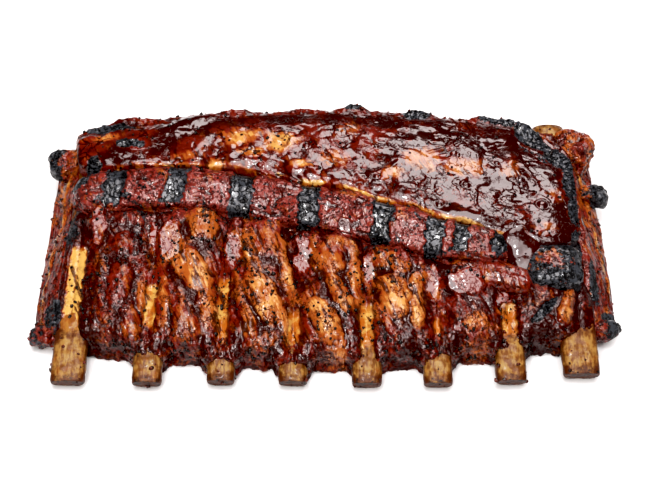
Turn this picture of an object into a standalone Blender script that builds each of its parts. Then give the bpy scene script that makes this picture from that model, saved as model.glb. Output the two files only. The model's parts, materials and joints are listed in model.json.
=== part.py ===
"""Rack of eight glazed pork ribs: one slab of meat on eight rib bones that run through it.

Frame: +Z up, the rack lies bone side down on z = 0. The bone tips point to -Y, the thick loin
side is at +Y, and the origin is the centre of the rack's footprint.
"""

import math

import bmesh
import bpy
from mathutils import Vector

MM = 0.001  # the dimensions below are in millimetres
END_STOP = 0.997  # a rounded block's last ring stands this share of the way to its end, and is capped
ROUND_END = 0.3  # a roll's last ring has this share of its size
SHARP_ANGLE = math.radians(40)

# ---- driving dimensions ----
LENGTH = 244.0  # along the rack, across the bones
HALF_LENGTH = LENGTH / 2
NARROWING = 0.955  # the ribs close up a little towards the loin
END_NARROWING = 0.968  # the rack's two ends less so
FRONT_EDGE = -54.0  # meat's edge at the bone tips
FRONT_BOW = 7.5  # how far that edge falls back 100 mm from its foremost point
FRONT_CENTRE = -8.0
BACK_EDGE = 64.5  # loin side, mid-length
BACK_BOW = 5.0
RIM_FRONT = 4.5  # height of the slab's widest line at the front
RIM_BACK = 10.5
RIM_SQUARENESS = 7.0  # exponent of the rounded rim: the higher, the squarer
CORNER_SQUARENESS = 0.35  # the lower, the squarer the slab's corners in plan
ARCH_RISE = 4.5  # the underside is hollowed between its front and back edges
ARCH_CENTRE = 3.0
ARCH_HALF_SPAN = 38.0
CONTACT_SINK = 1.2  # the meat sags this much past z = 0 at its edges, and is pressed flat there
BONE_RIDGE = 1.2  # the bones show as low ridges under the arch

BONE_THICKNESS = 8.0
BONE_GAP = 0.3  # clearance of a bone in its channel
CHANNEL_RUN = 2.4  # a channel runs this far past the bone's ends
BONE_SIDES = 10
BONE_RINGS = 11
BONE_TIP_HEIGHT = 5.2  # centre of the cut tip
BONE_RISE = 15.5  # how much higher the bone's centre lies at the loin
BONE_CURVE = 45.0  # distance over which most of that rise happens
BONE_TIP_TAPER = 0.9  # the cut rim is slightly worn
BONE_COVER = 1.4  # meat over the bones, where they don't lie bare
BARE_FADE = 5.0  # length over which a bare stretch closes

# x of the tip, y of the tip, half width, y of the far end, y of the bare stretch's ends, its depth
RIBS = (
    (-104.9, -63.7, 7.6, 61.4, -75.0, -8.0, 2.3),
    (-72.6, -64.2, 6.6, 62.9, -45.0, -27.0, 1.0),
    (-42.5, -63.4, 6.2, 63.9, -44.0, -14.0, 1.0),
    (-13.1, -63.9, 6.4, 64.4, -45.0, -22.0, 1.2),
    (17.1, -64.7, 6.6, 64.4, -45.0, -24.0, 1.2),
    (46.1, -64.6, 6.4, 63.9, -46.0, -32.0, 1.0),
    (76.0, -63.2, 6.8, 62.9, -46.0, -35.0, 1.2),
    (104.9, -60.0, 8.2, 63.8, -44.0, -37.0, 0.8),
)

# meat humps between neighbouring bones: height above the bones, sideways lean, how far it hangs out in front
HUMPS = (
    (4.6, -0.10, 0.0),
    (5.2, 0.08, 0.0),
    (6.0, 0.04, 0.5),
    (6.0, 0.04, 1.4),
    (5.6, -0.06, 1.4),
    (5.0, 0.06, 0.0),
    (5.4, 0.10, 0.0),
)
HUMP_ROUNDNESS = 2.6  # exponent of a hump's section: the higher, the narrower the grooves
HUMP_FRONT_SHARE = 0.8  # share of its height that a hump has at the front edge
HUMP_FRONT_LENGTH = 34.0
END_RISE = 4.0  # the folds outside the two outer bones

GAP_COLUMNS = 6  # mesh columns from one bone to the next
END_COLUMNS = 5
OVER_ROWS = 20
UNDER_ROWS = 14

LOIN_BED = 27.0  # height of the base under the glazed loin
BED_RAMP = (14.0, 3.0)  # the base rises to that height over this stretch in front of the lip
SIDE_EDGE_SHARE = 0.42  # share of its height that is left at the cut ends
SIDE_BULGE = 1.4  # exponent of the slope down to it: above 1 it bulges

# the glazed loin: x, y of its front lip, height of its crown
LOIN_LIP = (
    (-108.0, 29.0, 33.5),
    (-80.0, 29.0, 36.0),
    (-45.0, 26.5, 38.0),
    (0.0, 16.0, 38.5),
    (30.0, 6.5, 38.0),
    (55.0, -2.0, 37.0),
    (78.0, -9.5, 35.0),
    (92.0, -14.0, 33.0),
    (108.0, -16.0, 31.0),
)
CAP_HALF_LENGTH = 108.0  # the glazed loin is shorter than the base
LOIN_BOTTOM = 17.0
LOIN_ROLL = 0.62  # past this share of its depth the crown falls off towards the back edge
LOIN_BACK_DROP = 2.5
LOIN_BACK_BOW = (5.0, 11.0)  # how far its back edge falls back at the left and the right end

# the grilled muscle roll under the lip: x, y, z, half width, half height
ROLL = (
    (-109.0, 18.0, 23.5, 8.4, 7.4),
    (-90.0, 20.0, 26.5, 9.4, 8.4),
    (-62.0, 20.5, 27.5, 9.8, 8.8),
    (-32.0, 15.0, 28.0, 9.8, 9.0),
    (0.0, 7.5, 28.0, 9.8, 9.0),
    (25.0, 0.5, 27.5, 9.4, 8.8),
    (48.0, -6.5, 26.5, 8.6, 8.4),
    (66.0, -9.5, 25.5, 7.6, 7.8),
    (80.0, -13.0, 24.5, 6.0, 6.6),
)
ROLL_END = 9.0  # length over which a roll's end is rounded off

# the lower fold between the roll and the charred block, stated in the same way
LOWER_FOLD = (
    (50.0, -18.5, 21.0, 5.5, 5.0),
    (66.0, -21.5, 21.5, 6.5, 6.0),
    (80.0, -25.0, 21.5, 6.5, 6.0),
    (88.0, -27.0, 20.5, 5.5, 5.0),
)

# charred block at the loin's front right corner: centre, half sizes
BLOCK_CENTRE = (95.0, -20.0, 20.5)
BLOCK_HALF = (11.5, 11.0, 9.5)

LUMP_BOXINESS = 0.35  # from 0, a ball, to 1, a block
# burnt lumps on the rack's ends and corners: centre, half sizes, turn about Z in degrees
LUMPS = (
    ((-114.8, 45.0, 17.5), (8.0, 6.6, 5.2), 12.0),
    ((-109.0, 55.0, 22.0), (8.0, 7.0, 7.0), 0.0),
    ((-117.0, -41.0, 7.6), (6.4, 6.0, 6.4), 30.0),
    ((115.4, 27.0, 18.5), (8.0, 4.6, 5.4), 0.0),
    ((110.0, 50.0, 20.5), (9.0, 10.0, 6.8), -20.0),
    ((117.5, -40.0, 9.0), (6.6, 5.4, 5.6), 35.0),
)

MEAT_COLOUR = (0.28, 0.075, 0.03)
BONE_COLOUR = (0.66, 0.48, 0.24)


# ---- helpers ----
def through(stations, count):
    """Points on a smooth curve through the stations, which are tuples of equal length."""
    last = len(stations) - 1
    points = []
    for k in range(count):
        place = k / (count - 1) * last
        i = min(int(place), last - 1)
        t = place - i
        before, start = stations[max(i - 1, 0)], stations[i]
        end, after = stations[i + 1], stations[min(i + 2, last)]
        weights = (
            -0.5 * t + t**2 - 0.5 * t**3,
            1 - 2.5 * t**2 + 1.5 * t**3,
            0.5 * t + 2 * t**2 - 1.5 * t**3,
            -0.5 * t**2 + 0.5 * t**3,
        )
        columns = zip(before, start, end, after)
        points.append(tuple(sum(w * value for w, value in zip(weights, column)) for column in columns))
    return points


def between(stations, x, column):
    """The value in a column of the stations, which are sorted by x, eased from one to the next."""
    if x <= stations[0][0]:
        return stations[0][column]
    for start, end in zip(stations, stations[1:]):
        if x <= end[0]:
            t = (x - start[0]) / (end[0] - start[0])
            t = t * t * (3 - 2 * t)
            return start[column] + (end[column] - start[column]) * t
    return stations[-1][column]


def front_of(x):
    return FRONT_EDGE + FRONT_BOW * ((x - FRONT_CENTRE) / 100) ** 2


def back_of(x):
    return BACK_EDGE - BACK_BOW * abs(x / HALF_LENGTH) ** 2.2


def bone_height(distance):
    """Height of a bone's centre at a distance back from its tip."""
    return BONE_TIP_HEIGHT + BONE_RISE * (1 - math.exp(-distance / BONE_CURVE))


def bone_x(rib, y):
    tip_x, tip_y, far_y = rib[0], rib[1], rib[3]
    return tip_x * (1 + (NARROWING - 1) * (y - tip_y) / (far_y - tip_y))


def loft(name, rings, material=None):
    """A closed mesh object through rings of points, in millimetres, with its ends capped."""
    mesh = bpy.data.meshes.new(name)
    bm = bmesh.new()
    made = [[bm.verts.new(Vector(p) * MM) for p in ring] for ring in rings]
    count = len(rings[0])
    for ring, following in zip(made, made[1:]):
        for k in range(count):
            n = (k + 1) % count
            bm.faces.new((ring[k], ring[n], following[n], following[k]))
    bm.faces.new(made[0])
    bm.faces.new(made[-1])
    bmesh.ops.recalc_face_normals(bm, faces=bm.faces)
    bm.to_mesh(mesh)
    bm.free()
    mesh.shade_smooth()
    mesh.set_sharp_from_angle(angle=SHARP_ANGLE)
    obj = bpy.data.objects.new(name, mesh)
    bpy.context.scene.collection.objects.link(obj)
    if material:
        mesh.materials.append(material)
    return obj


def sausage(name, stations, rings, sides, end=ROLL_END, material=None):
    """A roll with an oval section along stations of x, y, z, half width and half height, its ends rounded."""
    path = through(stations, rings)
    spine = [Vector(p[:3]) for p in path]
    reach = [0.0]
    for a, b in zip(spine, spine[1:]):
        reach.append(reach[-1] + (b - a).length)
    made = []
    for k, point in enumerate(spine):
        ahead = spine[min(k + 1, rings - 1)] - spine[max(k - 1, 0)]
        across = ahead.cross(Vector((0, 0, 1))).normalized()
        up = across.cross(ahead).normalized()
        edge = min(reach[k], reach[-1] - reach[k], end) / end
        swell = max(math.sqrt(1 - (1 - edge) ** 2), ROUND_END)
        wide, high = path[k][3] * swell, path[k][4] * swell
        turns = [math.tau * s / sides for s in range(sides)]
        made.append([point + across * (wide * math.cos(a)) + up * (high * math.sin(a)) for a in turns])
    return loft(name, made, material)


def pillow(name, x_range, y_range, z_range, columns, rows, power, corner):
    """A rounded block between two ends in x. y_range and z_range give its limits at x, and at x and y."""
    low_x, high_x = x_range
    made = []
    for i in range(columns):
        u = math.sin(math.pi * (i / (columns - 1) - 0.5)) * END_STOP
        x = (low_x + high_x) / 2 + (high_x - low_x) / 2 * u
        end = (1 - abs(u) ** power) ** (1 / power)
        low_y, high_y = y_range(x)
        middle, half = (low_y + high_y) / 2, (high_y - low_y) / 2 * end**corner
        over, under = [], []
        for k in range(rows):
            s = math.sin(math.pi * (k / (rows - 1) - 0.5))
            y = middle + half * s
            rim = (1 - min(abs(s), 1) ** power) ** (1 / power)
            low_z, edge_z, high_z = z_range(x, y, (y - low_y) / (high_y - low_y))
            over.append((x, y, edge_z + (high_z - edge_z) * rim * end))
            under.append((x, y, edge_z - (edge_z - low_z) * rim * end))
        made.append(over + under[-2:0:-1])
    return loft(name, made)


def helper(obj):
    """Marks a shape that only cuts or joins."""
    obj.hide_render = True
    obj.display_type = "WIRE"
    return obj


def combine(target, tools, operation, solver="EXACT"):
    for tool in tools:
        step = target.modifiers.new(f"{operation.lower()} {tool.name}", "BOOLEAN")
        step.operation = operation
        step.solver = solver
        step.object = helper(tool)


def finish(name, colour, roughness, coat):
    material = bpy.data.materials.new(name)
    material.use_nodes = True
    shader = material.node_tree.nodes["Principled BSDF"]
    shader.inputs["Base Color"].default_value = (*colour, 1)
    shader.inputs["Roughness"].default_value = roughness
    shader.inputs["Coat Weight"].default_value = coat
    material.diffuse_color = (*colour, 1)
    return material


# ---- the pieces ----
def rib_bone(name, rib, grown=0.0, longer=0.0, material=None):
    """A flattened bar that rises from its cut tip to the loin. grown and longer make its channel's cutter."""
    tip_y, half_width, far_y = rib[1:4]
    start, stop = tip_y - longer, far_y + longer
    made = []
    for k in range(BONE_RINGS):
        share = k / (BONE_RINGS - 1)
        y = start + (stop - start) * share
        distance = max(y - tip_y, 0)
        slope = BONE_RISE / BONE_CURVE * math.exp(-distance / BONE_CURVE)
        up = Vector((0, -slope, 1)).normalized()
        centre = Vector((bone_x(rib, y), y, bone_height(distance)))
        worn = BONE_TIP_TAPER if k in (0, BONE_RINGS - 1) and not grown else 1.0
        wide = (half_width + grown) * worn
        high = (BONE_THICKNESS / 2 + grown) * worn
        ring = []
        for s in range(BONE_SIDES):
            a = math.tau * (s + 0.5) / BONE_SIDES
            ring.append(centre + Vector((1, 0, 0)) * (wide * math.cos(a)) + up * (high * math.sin(a)))
        made.append(ring)
    return loft(name, made, material)


def slab_columns():
    """The slab's columns: x at the bone tips, the gap each stands in, and its place from 0 to 1 across it.

    Gap i runs from bone i to the next, gap -1 from the left end to the first, and the last to the right end.
    """
    ribs = [rib[0] for rib in RIBS]
    steps = [math.sin(math.pi / 2 * k / END_COLUMNS) * END_STOP for k in range(END_COLUMNS + 1)]
    left_end = [(ribs[0] - (HALF_LENGTH + ribs[0]) * step, -1, 1 - step) for step in reversed(steps[1:])]
    right_end = [(ribs[-1] + (HALF_LENGTH - ribs[-1]) * step, len(ribs) - 1, step) for step in steps]
    middle = []
    for i, (left, right) in enumerate(zip(ribs, ribs[1:])):
        middle += [(left + (right - left) * k / GAP_COLUMNS, i, k / GAP_COLUMNS) for k in range(GAP_COLUMNS)]
    return left_end + middle + right_end


def past_bones(gap, place):
    """How far a place lies past the outer bones, from 0 at the bone to 1 at the rack's end."""
    return {-1: 1 - place, len(RIBS) - 1: place}.get(gap, 0.0)


def cover(rib, y):
    """How far the meat lies over a bone at y: below zero where the bone is bare."""
    front, back, depth = rib[4:]
    bare = max(0.0, min(1.0, (y - front) / BARE_FADE, (back - y) / BARE_FADE))
    return BONE_COVER - (BONE_COVER + depth) * bare


def face_height(gap, place, y):
    """Height of the rib face, with its grooves over the bones and its humps between them."""
    left, right = RIBS[max(gap, 0)], RIBS[min(gap + 1, len(RIBS) - 1)]
    bone_top = bone_height(y - left[1]) + BONE_THICKNESS / 2
    over = cover(left, y) * (1 - place) + cover(right, y) * place
    outside = past_bones(gap, place)
    if outside:
        return bone_top + over * (1 - outside) + END_RISE * math.sin(math.pi * outside)
    rise, lean, _ = HUMPS[min(gap, len(HUMPS) - 1)]
    side = 2 * place - 1
    side -= lean * (1 - side**2)
    near_front = max(0.0, 1 - (y - FRONT_EDGE) / HUMP_FRONT_LENGTH)
    rise *= 1 - (1 - HUMP_FRONT_SHARE) * near_front
    return bone_top + over + rise * (1 - abs(side) ** HUMP_ROUNDNESS)


def slab_top(gap, place, x, y):
    """The rib face in front, and behind it the bed for the loin; both slope down to the cut ends."""
    start, stop = BED_RAMP
    bed = max(0.0, min(1.0, (y - between(LOIN_LIP, x, 1) + start) / (start - stop)))
    face = face_height(gap, place, y)
    slope = 1 - past_bones(gap, place) ** SIDE_BULGE * (1 - SIDE_EDGE_SHARE)
    return (face + (max(LOIN_BED, face) - face) * bed) * slope


def slab_underside(place, y):
    """The hollow under the rack, with a ridge for each bone, between two strips that lie flat."""
    arch = max(0.0, 1 - ((y - ARCH_CENTRE) / ARCH_HALF_SPAN) ** 2)
    ridge = BONE_RIDGE * math.cos(math.pi * place) ** 2 * min(1.0, arch * 3)
    return ARCH_RISE * arch - CONTACT_SINK - ridge


def base_slab():
    """The meat around the bones, from the front edge to the loin's back, with sloping cut ends."""
    made = []
    for column, gap, place in slab_columns():
        outward = abs(column / HALF_LENGTH)
        end = (1 - outward**RIM_SQUARENESS) ** (1 / RIM_SQUARENESS)
        hang = HUMPS[gap][2] * math.sin(math.pi * place) if 0 <= gap < len(HUMPS) else 0.0
        low_y, high_y = front_of(column) - hang, back_of(column)
        middle, half = (low_y + high_y) / 2, (high_y - low_y) / 2 * end**CORNER_SQUARENESS
        narrowing = NARROWING + (END_NARROWING - NARROWING) * outward**4

        def point(row, rows, upper):
            s = math.sin(math.pi * (row / (rows - 1) - 0.5))
            y = middle + half * s
            share = (y - low_y) / (high_y - low_y)
            x = column * (1 + (narrowing - 1) * share)
            rim = RIM_FRONT + (RIM_BACK - RIM_FRONT) * share
            full = (1 - min(abs(s), 1) ** RIM_SQUARENESS) ** (1 / RIM_SQUARENESS) * end
            level = slab_top(gap, place, x, y) if upper else slab_underside(place, y)
            return x, y, max(rim + (level - rim) * full, 0.0)

        over = [point(k, OVER_ROWS, True) for k in range(OVER_ROWS)]
        under = [point(k, UNDER_ROWS, False) for k in range(1, UNDER_ROWS - 1)]
        made.append(over + under[::-1])
    return loft("meat", made)


def back_of_loin(x):
    return BACK_EDGE - 1.0 - LOIN_BACK_BOW[x > 0] * abs(x / CAP_HALF_LENGTH) ** 2.2


def glazed_loin():
    """The thick, glazed part behind the roll, with a lip along its front."""

    def heights(x, y, share):
        crown = between(LOIN_LIP, x, 2)
        fall = LOIN_BACK_DROP * max(0.0, share - LOIN_ROLL) / (1 - LOIN_ROLL)
        return LOIN_BOTTOM, LOIN_BED, crown - fall

    return pillow(
        "glazed_loin",
        (-CAP_HALF_LENGTH, CAP_HALF_LENGTH),
        lambda x: (between(LOIN_LIP, x, 1), back_of_loin(x)),
        heights,
        columns=22,
        rows=14,
        power=5.0,
        corner=0.6,
    )


def lump(index, centre, half, turn):
    """A burnt bit on the rack's end: a squashed, slightly boxy ball."""
    bm = bmesh.new()
    bmesh.ops.create_icosphere(bm, subdivisions=2, radius=1.0)
    spin = math.radians(turn)
    for vertex in bm.verts:
        p = vertex.co.normalized()
        boxy = 1 / max(abs(p.x), abs(p.y), abs(p.z)) ** LUMP_BOXINESS
        x, y, z = (p * boxy)[:]
        x, y, z = x * half[0], y * half[1], z * half[2]
        turned = (x * math.cos(spin) - y * math.sin(spin), x * math.sin(spin) + y * math.cos(spin), z)
        vertex.co = (Vector(turned) + Vector(centre)) * MM
    mesh = bpy.data.meshes.new(f"lump_{index}")
    bm.to_mesh(mesh)
    bm.free()
    obj = bpy.data.objects.new(mesh.name, mesh)
    bpy.context.scene.collection.objects.link(obj)
    return obj


def char_block():
    x, y, z = BLOCK_CENTRE
    wide, deep, high = BLOCK_HALF
    return pillow(
        "char_block",
        (x - wide, x + wide),
        lambda _: (y - deep, y + deep),
        lambda *_: (z - high, z, z + high),
        columns=9,
        rows=8,
        power=4.0,
        corner=0.8,
    )


def build():
    for obj in list(bpy.data.objects):
        bpy.data.objects.remove(obj, do_unlink=True)
    meat_finish = finish("glazed meat", MEAT_COLOUR, roughness=0.3, coat=0.8)
    bone_finish = finish("rib bone", BONE_COLOUR, roughness=0.45, coat=0.1)

    meat = base_slab()
    meat.data.materials.append(meat_finish)
    parts = [glazed_loin(), sausage("roll", ROLL, rings=20, sides=14), char_block()]
    parts.append(sausage("lower_fold", LOWER_FOLD, rings=9, sides=10, end=6.0))
    parts += [lump(i, *spec) for i, spec in enumerate(LUMPS)]
    combine(meat, parts, "UNION")
    channels = [rib_bone(f"channel_{i + 1}", rib, BONE_GAP, CHANNEL_RUN) for i, rib in enumerate(RIBS)]
    combine(meat, channels, "DIFFERENCE", solver="MANIFOLD")

    for i, rib in enumerate(RIBS):
        rib_bone(f"rib_bone_{i + 1}", rib, material=bone_finish)


build()
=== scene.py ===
import json
import math

import bmesh
import bpy
import numpy as np
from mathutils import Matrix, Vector

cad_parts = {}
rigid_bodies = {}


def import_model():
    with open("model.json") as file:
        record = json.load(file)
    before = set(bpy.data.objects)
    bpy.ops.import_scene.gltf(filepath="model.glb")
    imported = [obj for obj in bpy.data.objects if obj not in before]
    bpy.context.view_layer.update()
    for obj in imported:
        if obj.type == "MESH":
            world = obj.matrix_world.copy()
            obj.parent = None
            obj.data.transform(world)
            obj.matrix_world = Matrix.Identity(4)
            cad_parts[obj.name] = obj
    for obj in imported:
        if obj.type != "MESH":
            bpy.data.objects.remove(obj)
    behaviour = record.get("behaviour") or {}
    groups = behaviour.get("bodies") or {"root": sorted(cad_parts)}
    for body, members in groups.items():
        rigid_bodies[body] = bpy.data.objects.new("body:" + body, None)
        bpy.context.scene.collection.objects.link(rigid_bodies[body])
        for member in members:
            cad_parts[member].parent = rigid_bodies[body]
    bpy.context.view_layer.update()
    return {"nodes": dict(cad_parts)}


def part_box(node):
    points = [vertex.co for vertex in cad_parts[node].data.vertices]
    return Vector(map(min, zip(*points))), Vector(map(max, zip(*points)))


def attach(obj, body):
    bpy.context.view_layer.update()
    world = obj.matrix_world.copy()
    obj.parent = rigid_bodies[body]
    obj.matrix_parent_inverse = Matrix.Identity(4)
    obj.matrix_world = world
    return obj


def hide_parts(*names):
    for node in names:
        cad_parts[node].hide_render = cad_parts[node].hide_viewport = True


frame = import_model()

mm = 0.001  # shapes are worked out in millimetres and become metres when a mesh is made
body = "root"


# ---- noise and small maths, on arrays of points in millimetres ----
def bitsOf(ix, iy, iz, seed):
    h = ix * np.uint32(374761393) + iy * np.uint32(668265263) + iz * np.uint32(2246822519)
    h = h + np.uint32(seed * 3266489917 & 0xFFFFFFFF)
    h = (h ^ (h >> np.uint32(15))) * np.uint32(2246822519)
    h = (h ^ (h >> np.uint32(13))) * np.uint32(3266489917)
    return h ^ (h >> np.uint32(16))


def noise(points, size, seed=0):  # smooth noise of about -1 to 1, with lumps of that size
    q = np.asarray(points, np.float32) / np.float32(size)
    cell = np.floor(q)
    f = q - cell
    cell = cell.astype(np.int64).astype(np.uint32)
    w = f * f * f * (f * (f * 6 - 15) + 10)
    total = np.zeros(q.shape[:-1], np.float32)
    for dx in (0, 1):
        for dy in (0, 1):
            for dz in (0, 1):
                h = bitsOf(cell[..., 0] + np.uint32(dx), cell[..., 1] + np.uint32(dy),
                           cell[..., 2] + np.uint32(dz), seed)
                dot = ((h & np.uint32(1023)) / 511.5 - 1) * (f[..., 0] - dx)
                dot += ((h >> np.uint32(10) & np.uint32(1023)) / 511.5 - 1) * (f[..., 1] - dy)
                dot += ((h >> np.uint32(20) & np.uint32(1023)) / 511.5 - 1) * (f[..., 2] - dz)
                part = w[..., 0] if dx else 1 - w[..., 0]
                part = part * (w[..., 1] if dy else 1 - w[..., 1])
                total += part * (w[..., 2] if dz else 1 - w[..., 2]) * dot
    return total * 1.5


def fractal(points, size, octaves=3, seed=0, gain=0.5, sharp=False):
    total, weight, reach = 0.0, 1.0, 0.0
    size = np.asarray(size, np.float32)
    for k in range(octaves):
        layer = noise(points, size / 2**k, seed + 17 * k)
        total = total + weight * ((0.35 - np.abs(layer)) * 2 if sharp else layer)
        reach += weight
        weight *= gain
    return total / reach


def cells(points, size, seed=0):  # distance to the nearest and to the second of scattered seeds
    q = np.asarray(points, np.float32) / np.float32(size)
    cell = np.floor(q)
    near = np.full(q.shape[:-1], 9.0, np.float32)
    second = near.copy()
    for dx in (-1, 0, 1):
        for dy in (-1, 0, 1):
            for dz in (-1, 0, 1):
                corner = cell + np.array((dx, dy, dz), np.float32)
                h = bitsOf(*(corner[..., a].astype(np.int64).astype(np.uint32) for a in range(3)), seed)
                place = np.stack([(h >> np.uint32(s) & np.uint32(1023)) / 1023 for s in (0, 10, 20)], -1)
                away = np.linalg.norm(corner + place - q, axis=-1)
                second = np.minimum(second, np.maximum(near, away))
                near = np.minimum(near, away)
    return near, second


def step(x, low, high):
    t = np.clip((x - low) / (high - low), 0, 1)
    return t * t * (3 - 2 * t)


def mix(a, b, t):
    return a + (b - a) * t


def bump(x, width):  # 1 at 0, falling off to both sides
    return np.exp(-((x / width) ** 2))


def softMax(a, b, k):
    h = np.clip(0.5 + 0.5 * (a - b) / k, 0, 1)
    return b + (a - b) * h + k * h * (1 - h)


def turned(points, degrees):  # the same points, turned about Z
    a = math.radians(degrees)
    x = points[..., 0] * math.cos(a) + points[..., 1] * math.sin(a)
    y = -points[..., 0] * math.sin(a) + points[..., 1] * math.cos(a)
    return np.stack([x, y, points[..., 2]], -1)


def soften(grid, radius):  # three box blurs over a grid, of that radius in cells
    r = max(int(radius), 1)
    for _ in range(3):
        for axis in (0, 1):
            pad = [(r + 1, r) if a == axis else (0, 0) for a in range(2)]
            total = np.cumsum(np.pad(grid, pad, mode="edge"), axis=axis, dtype=np.float64)
            count = grid.shape[axis]
            high = np.take(total, np.arange(2 * r + 1, 2 * r + 1 + count), axis=axis)
            low = np.take(total, np.arange(count), axis=axis)
            grid = ((high - low) / (2 * r + 1)).astype(np.float32)
    return grid


def through(stations, places):  # a smooth curve through the stations, read at places from 0 to 1
    p = np.asarray(stations, float)
    s = np.asarray(places, float) * (len(p) - 1)
    i = np.clip(s.astype(int), 0, len(p) - 2)
    t = (s - i)[:, None]
    a, b = p[np.maximum(i - 1, 0)], p[i]
    c, d = p[i + 1], p[np.minimum(i + 2, len(p) - 1)]
    return (a * (-0.5 * t + t**2 - 0.5 * t**3) + b * (1 - 2.5 * t**2 + 1.5 * t**3)
            + c * (0.5 * t + 2 * t**2 - 1.5 * t**3) + d * (-0.5 * t**2 + 0.5 * t**3))


def eased(x, table, column):  # a column of a table sorted by x, eased from row to row
    xs = [row[0] for row in table]
    values = np.array([row[column] for row in table])
    s = np.interp(x, xs, np.arange(len(xs)))
    i = np.clip(s.astype(int), 0, len(xs) - 2)
    t = s - i
    return mix(values[i], values[i + 1], t * t * (3 - 2 * t))


# ---- skins: grids of points that close around a piece ----
def evenPath(path, count):  # points at even distances along an open path
    along = np.concatenate([[0], np.cumsum(np.linalg.norm(np.diff(path, axis=0), axis=1))])
    places = np.linspace(0, along[-1], count)
    return np.stack([np.interp(places, along, path[:, k]) for k in range(3)], -1)


def squareArc(count, power=7.0):  # a quarter of a squarish outline: from (1, 0) to (0, 1)
    turn = np.linspace(1e-3, 1, count) ** 4 * math.pi / 2
    return np.cos(turn).clip(0) ** (2 / power), np.sin(turn) ** (2 / power)


def normalsOf(p):
    u = np.gradient(p, axis=0)
    v = (np.roll(p, -1, 1) - np.roll(p, 1, 1)) / 2
    n = np.cross(u, v)
    n /= np.linalg.norm(n, axis=-1, keepdims=True) + 1e-9
    outward = ((p - p.mean(1, keepdims=True)) * n).sum() > 0
    return n if outward else -n


def skin(name, p, marks, material):  # p: rings of points, marks: colour attributes
    rings, count = p.shape[:2]
    p = np.concatenate([p[..., :2], np.maximum(p[..., 2:], 0)], -1)
    points = np.concatenate([p.reshape(-1, 3), p[0].mean(0)[None], p[-1].mean(0)[None]]).astype(np.float32)
    at = np.arange(rings * count).reshape(rings, count)
    a, b = at[:-1], at[1:]
    quads = np.stack([a, np.roll(a, -1, 1), np.roll(b, -1, 1), b], -1).reshape(-1, 4)
    last = rings * count
    first = np.stack([np.roll(at[0], -1), at[0], np.full(count, last)], -1)
    final = np.stack([at[-1], np.roll(at[-1], -1), np.full(count, last + 1)], -1)
    probe = points[quads[len(quads) // 2]]
    side = np.cross(probe[1] - probe[0], probe[3] - probe[0])
    if side @ (probe[0] - p[rings // 2].mean(0)) < 0:
        quads, first, final = quads[:, ::-1], first[:, ::-1], final[:, ::-1]
    mesh = bpy.data.meshes.new(name)
    loops = np.concatenate([quads.ravel(), first.ravel(), final.ravel()]).astype(np.int32)
    sizes = np.concatenate([np.full(len(quads), 4), np.full(2 * count, 3)])
    starts = np.concatenate([[0], np.cumsum(sizes)[:-1]]).astype(np.int32)
    mesh.vertices.add(len(points))
    mesh.vertices.foreach_set("co", (points * mm).ravel())
    mesh.loops.add(len(loops))
    mesh.loops.foreach_set("vertex_index", loops)
    mesh.polygons.add(len(sizes))
    mesh.polygons.foreach_set("loop_start", starts)
    mesh.update(calc_edges=True)
    mesh.validate()
    mesh.shade_smooth()
    for label, channels in marks.items():
        layer = mesh.attributes.new(label, "FLOAT_COLOR", "POINT")
        flat = np.ones((len(points), 4), np.float32)
        for k, channel in enumerate(channels):
            channel = np.broadcast_to(channel, (rings, count))
            flat[:last, k] = channel.ravel()
            flat[last:, k] = channel[0].mean(), channel[-1].mean()
        layer.data.foreach_set("color", flat.ravel())
    mesh.materials.append(material)
    piece = bpy.data.objects.new(name, mesh)
    bpy.context.scene.collection.objects.link(piece)
    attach(piece, body)
    print("made", name, len(points), "points", len(quads) * 2 + 2 * count, "triangles")
    return piece


# ---- the rack's layout, read from the frame ----
def boneTip(node):  # centre x, tip y, half width of a bone's bare tip
    co = np.array([v.co for v in frame["nodes"][node].data.vertices]) / mm
    tip = co[co[:, 1] < co[:, 1].min() + 2.5]
    return tip[:, 0].mean(), co[:, 1].min(), (tip[:, 0].max() - tip[:, 0].min()) / 2 / 0.9


boneNames = sorted(n for n in frame["nodes"] if n.startswith("rib_bone"))
tips = np.array([boneTip(n) for n in boneNames])
boneEnds = [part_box(n)[1].y / mm for n in boneNames]
tipX = tips[:, 0]
print("bone tips", tips.round(1).tolist())

rack = dict(
    halfLength=122.0, narrowing=0.955, endNarrowing=0.968,
    frontEdge=-54.0, frontBow=7.5, frontCentre=-8.0, backEdge=64.5, backBow=5.0,
    boneTipHeight=5.2, boneRise=15.5, boneCurve=45.0, boneThickness=8.0,
    archRise=4.5, archCentre=3.0, archHalfSpan=38.0, contactSink=1.2, boneRidge=1.2,
    bed=27.0, sideShare=0.42, sideBulge=1.4, squareness=7.0,
)
# x, y of the loin's front lip, height of its crown
lip = ((-108, 29, 33.5), (-80, 29, 36), (-45, 26.5, 38), (0, 16, 38.5), (30, 6.5, 38), (55, -2, 37),
       (78, -9.5, 35), (92, -14, 33), (108, -16, 31))


def lipAt(x):
    return eased(x, lip, 1)


def frontAt(x):
    return rack["frontEdge"] + rack["frontBow"] * ((x - rack["frontCentre"]) / 100) ** 2


def backAt(x):
    return rack["backEdge"] - rack["backBow"] * np.abs(x / rack["halfLength"]) ** 2.2


def boneTop(y, tipY):
    rise = rack["boneRise"] * (1 - np.exp(-np.maximum(y - tipY, 0) / rack["boneCurve"]))
    return rack["boneTipHeight"] + rise + rack["boneThickness"] / 2


def gapAt(x0):  # which gap between the bones, and the place from 0 to 1 across it
    half = rack["halfLength"]
    s = np.interp(x0, [-half, *tipX, half], np.arange(-1, len(tipX) + 1))
    gap = np.clip(np.floor(s), -1, len(tipX) - 1).astype(int)
    return gap, s - gap


# ---- materials: small helpers that add nodes ----
def newMaterial(name):
    material = bpy.data.materials.new(name)
    material.use_nodes = True
    return material, material.node_tree, material.node_tree.nodes["Principled BSDF"]


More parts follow.
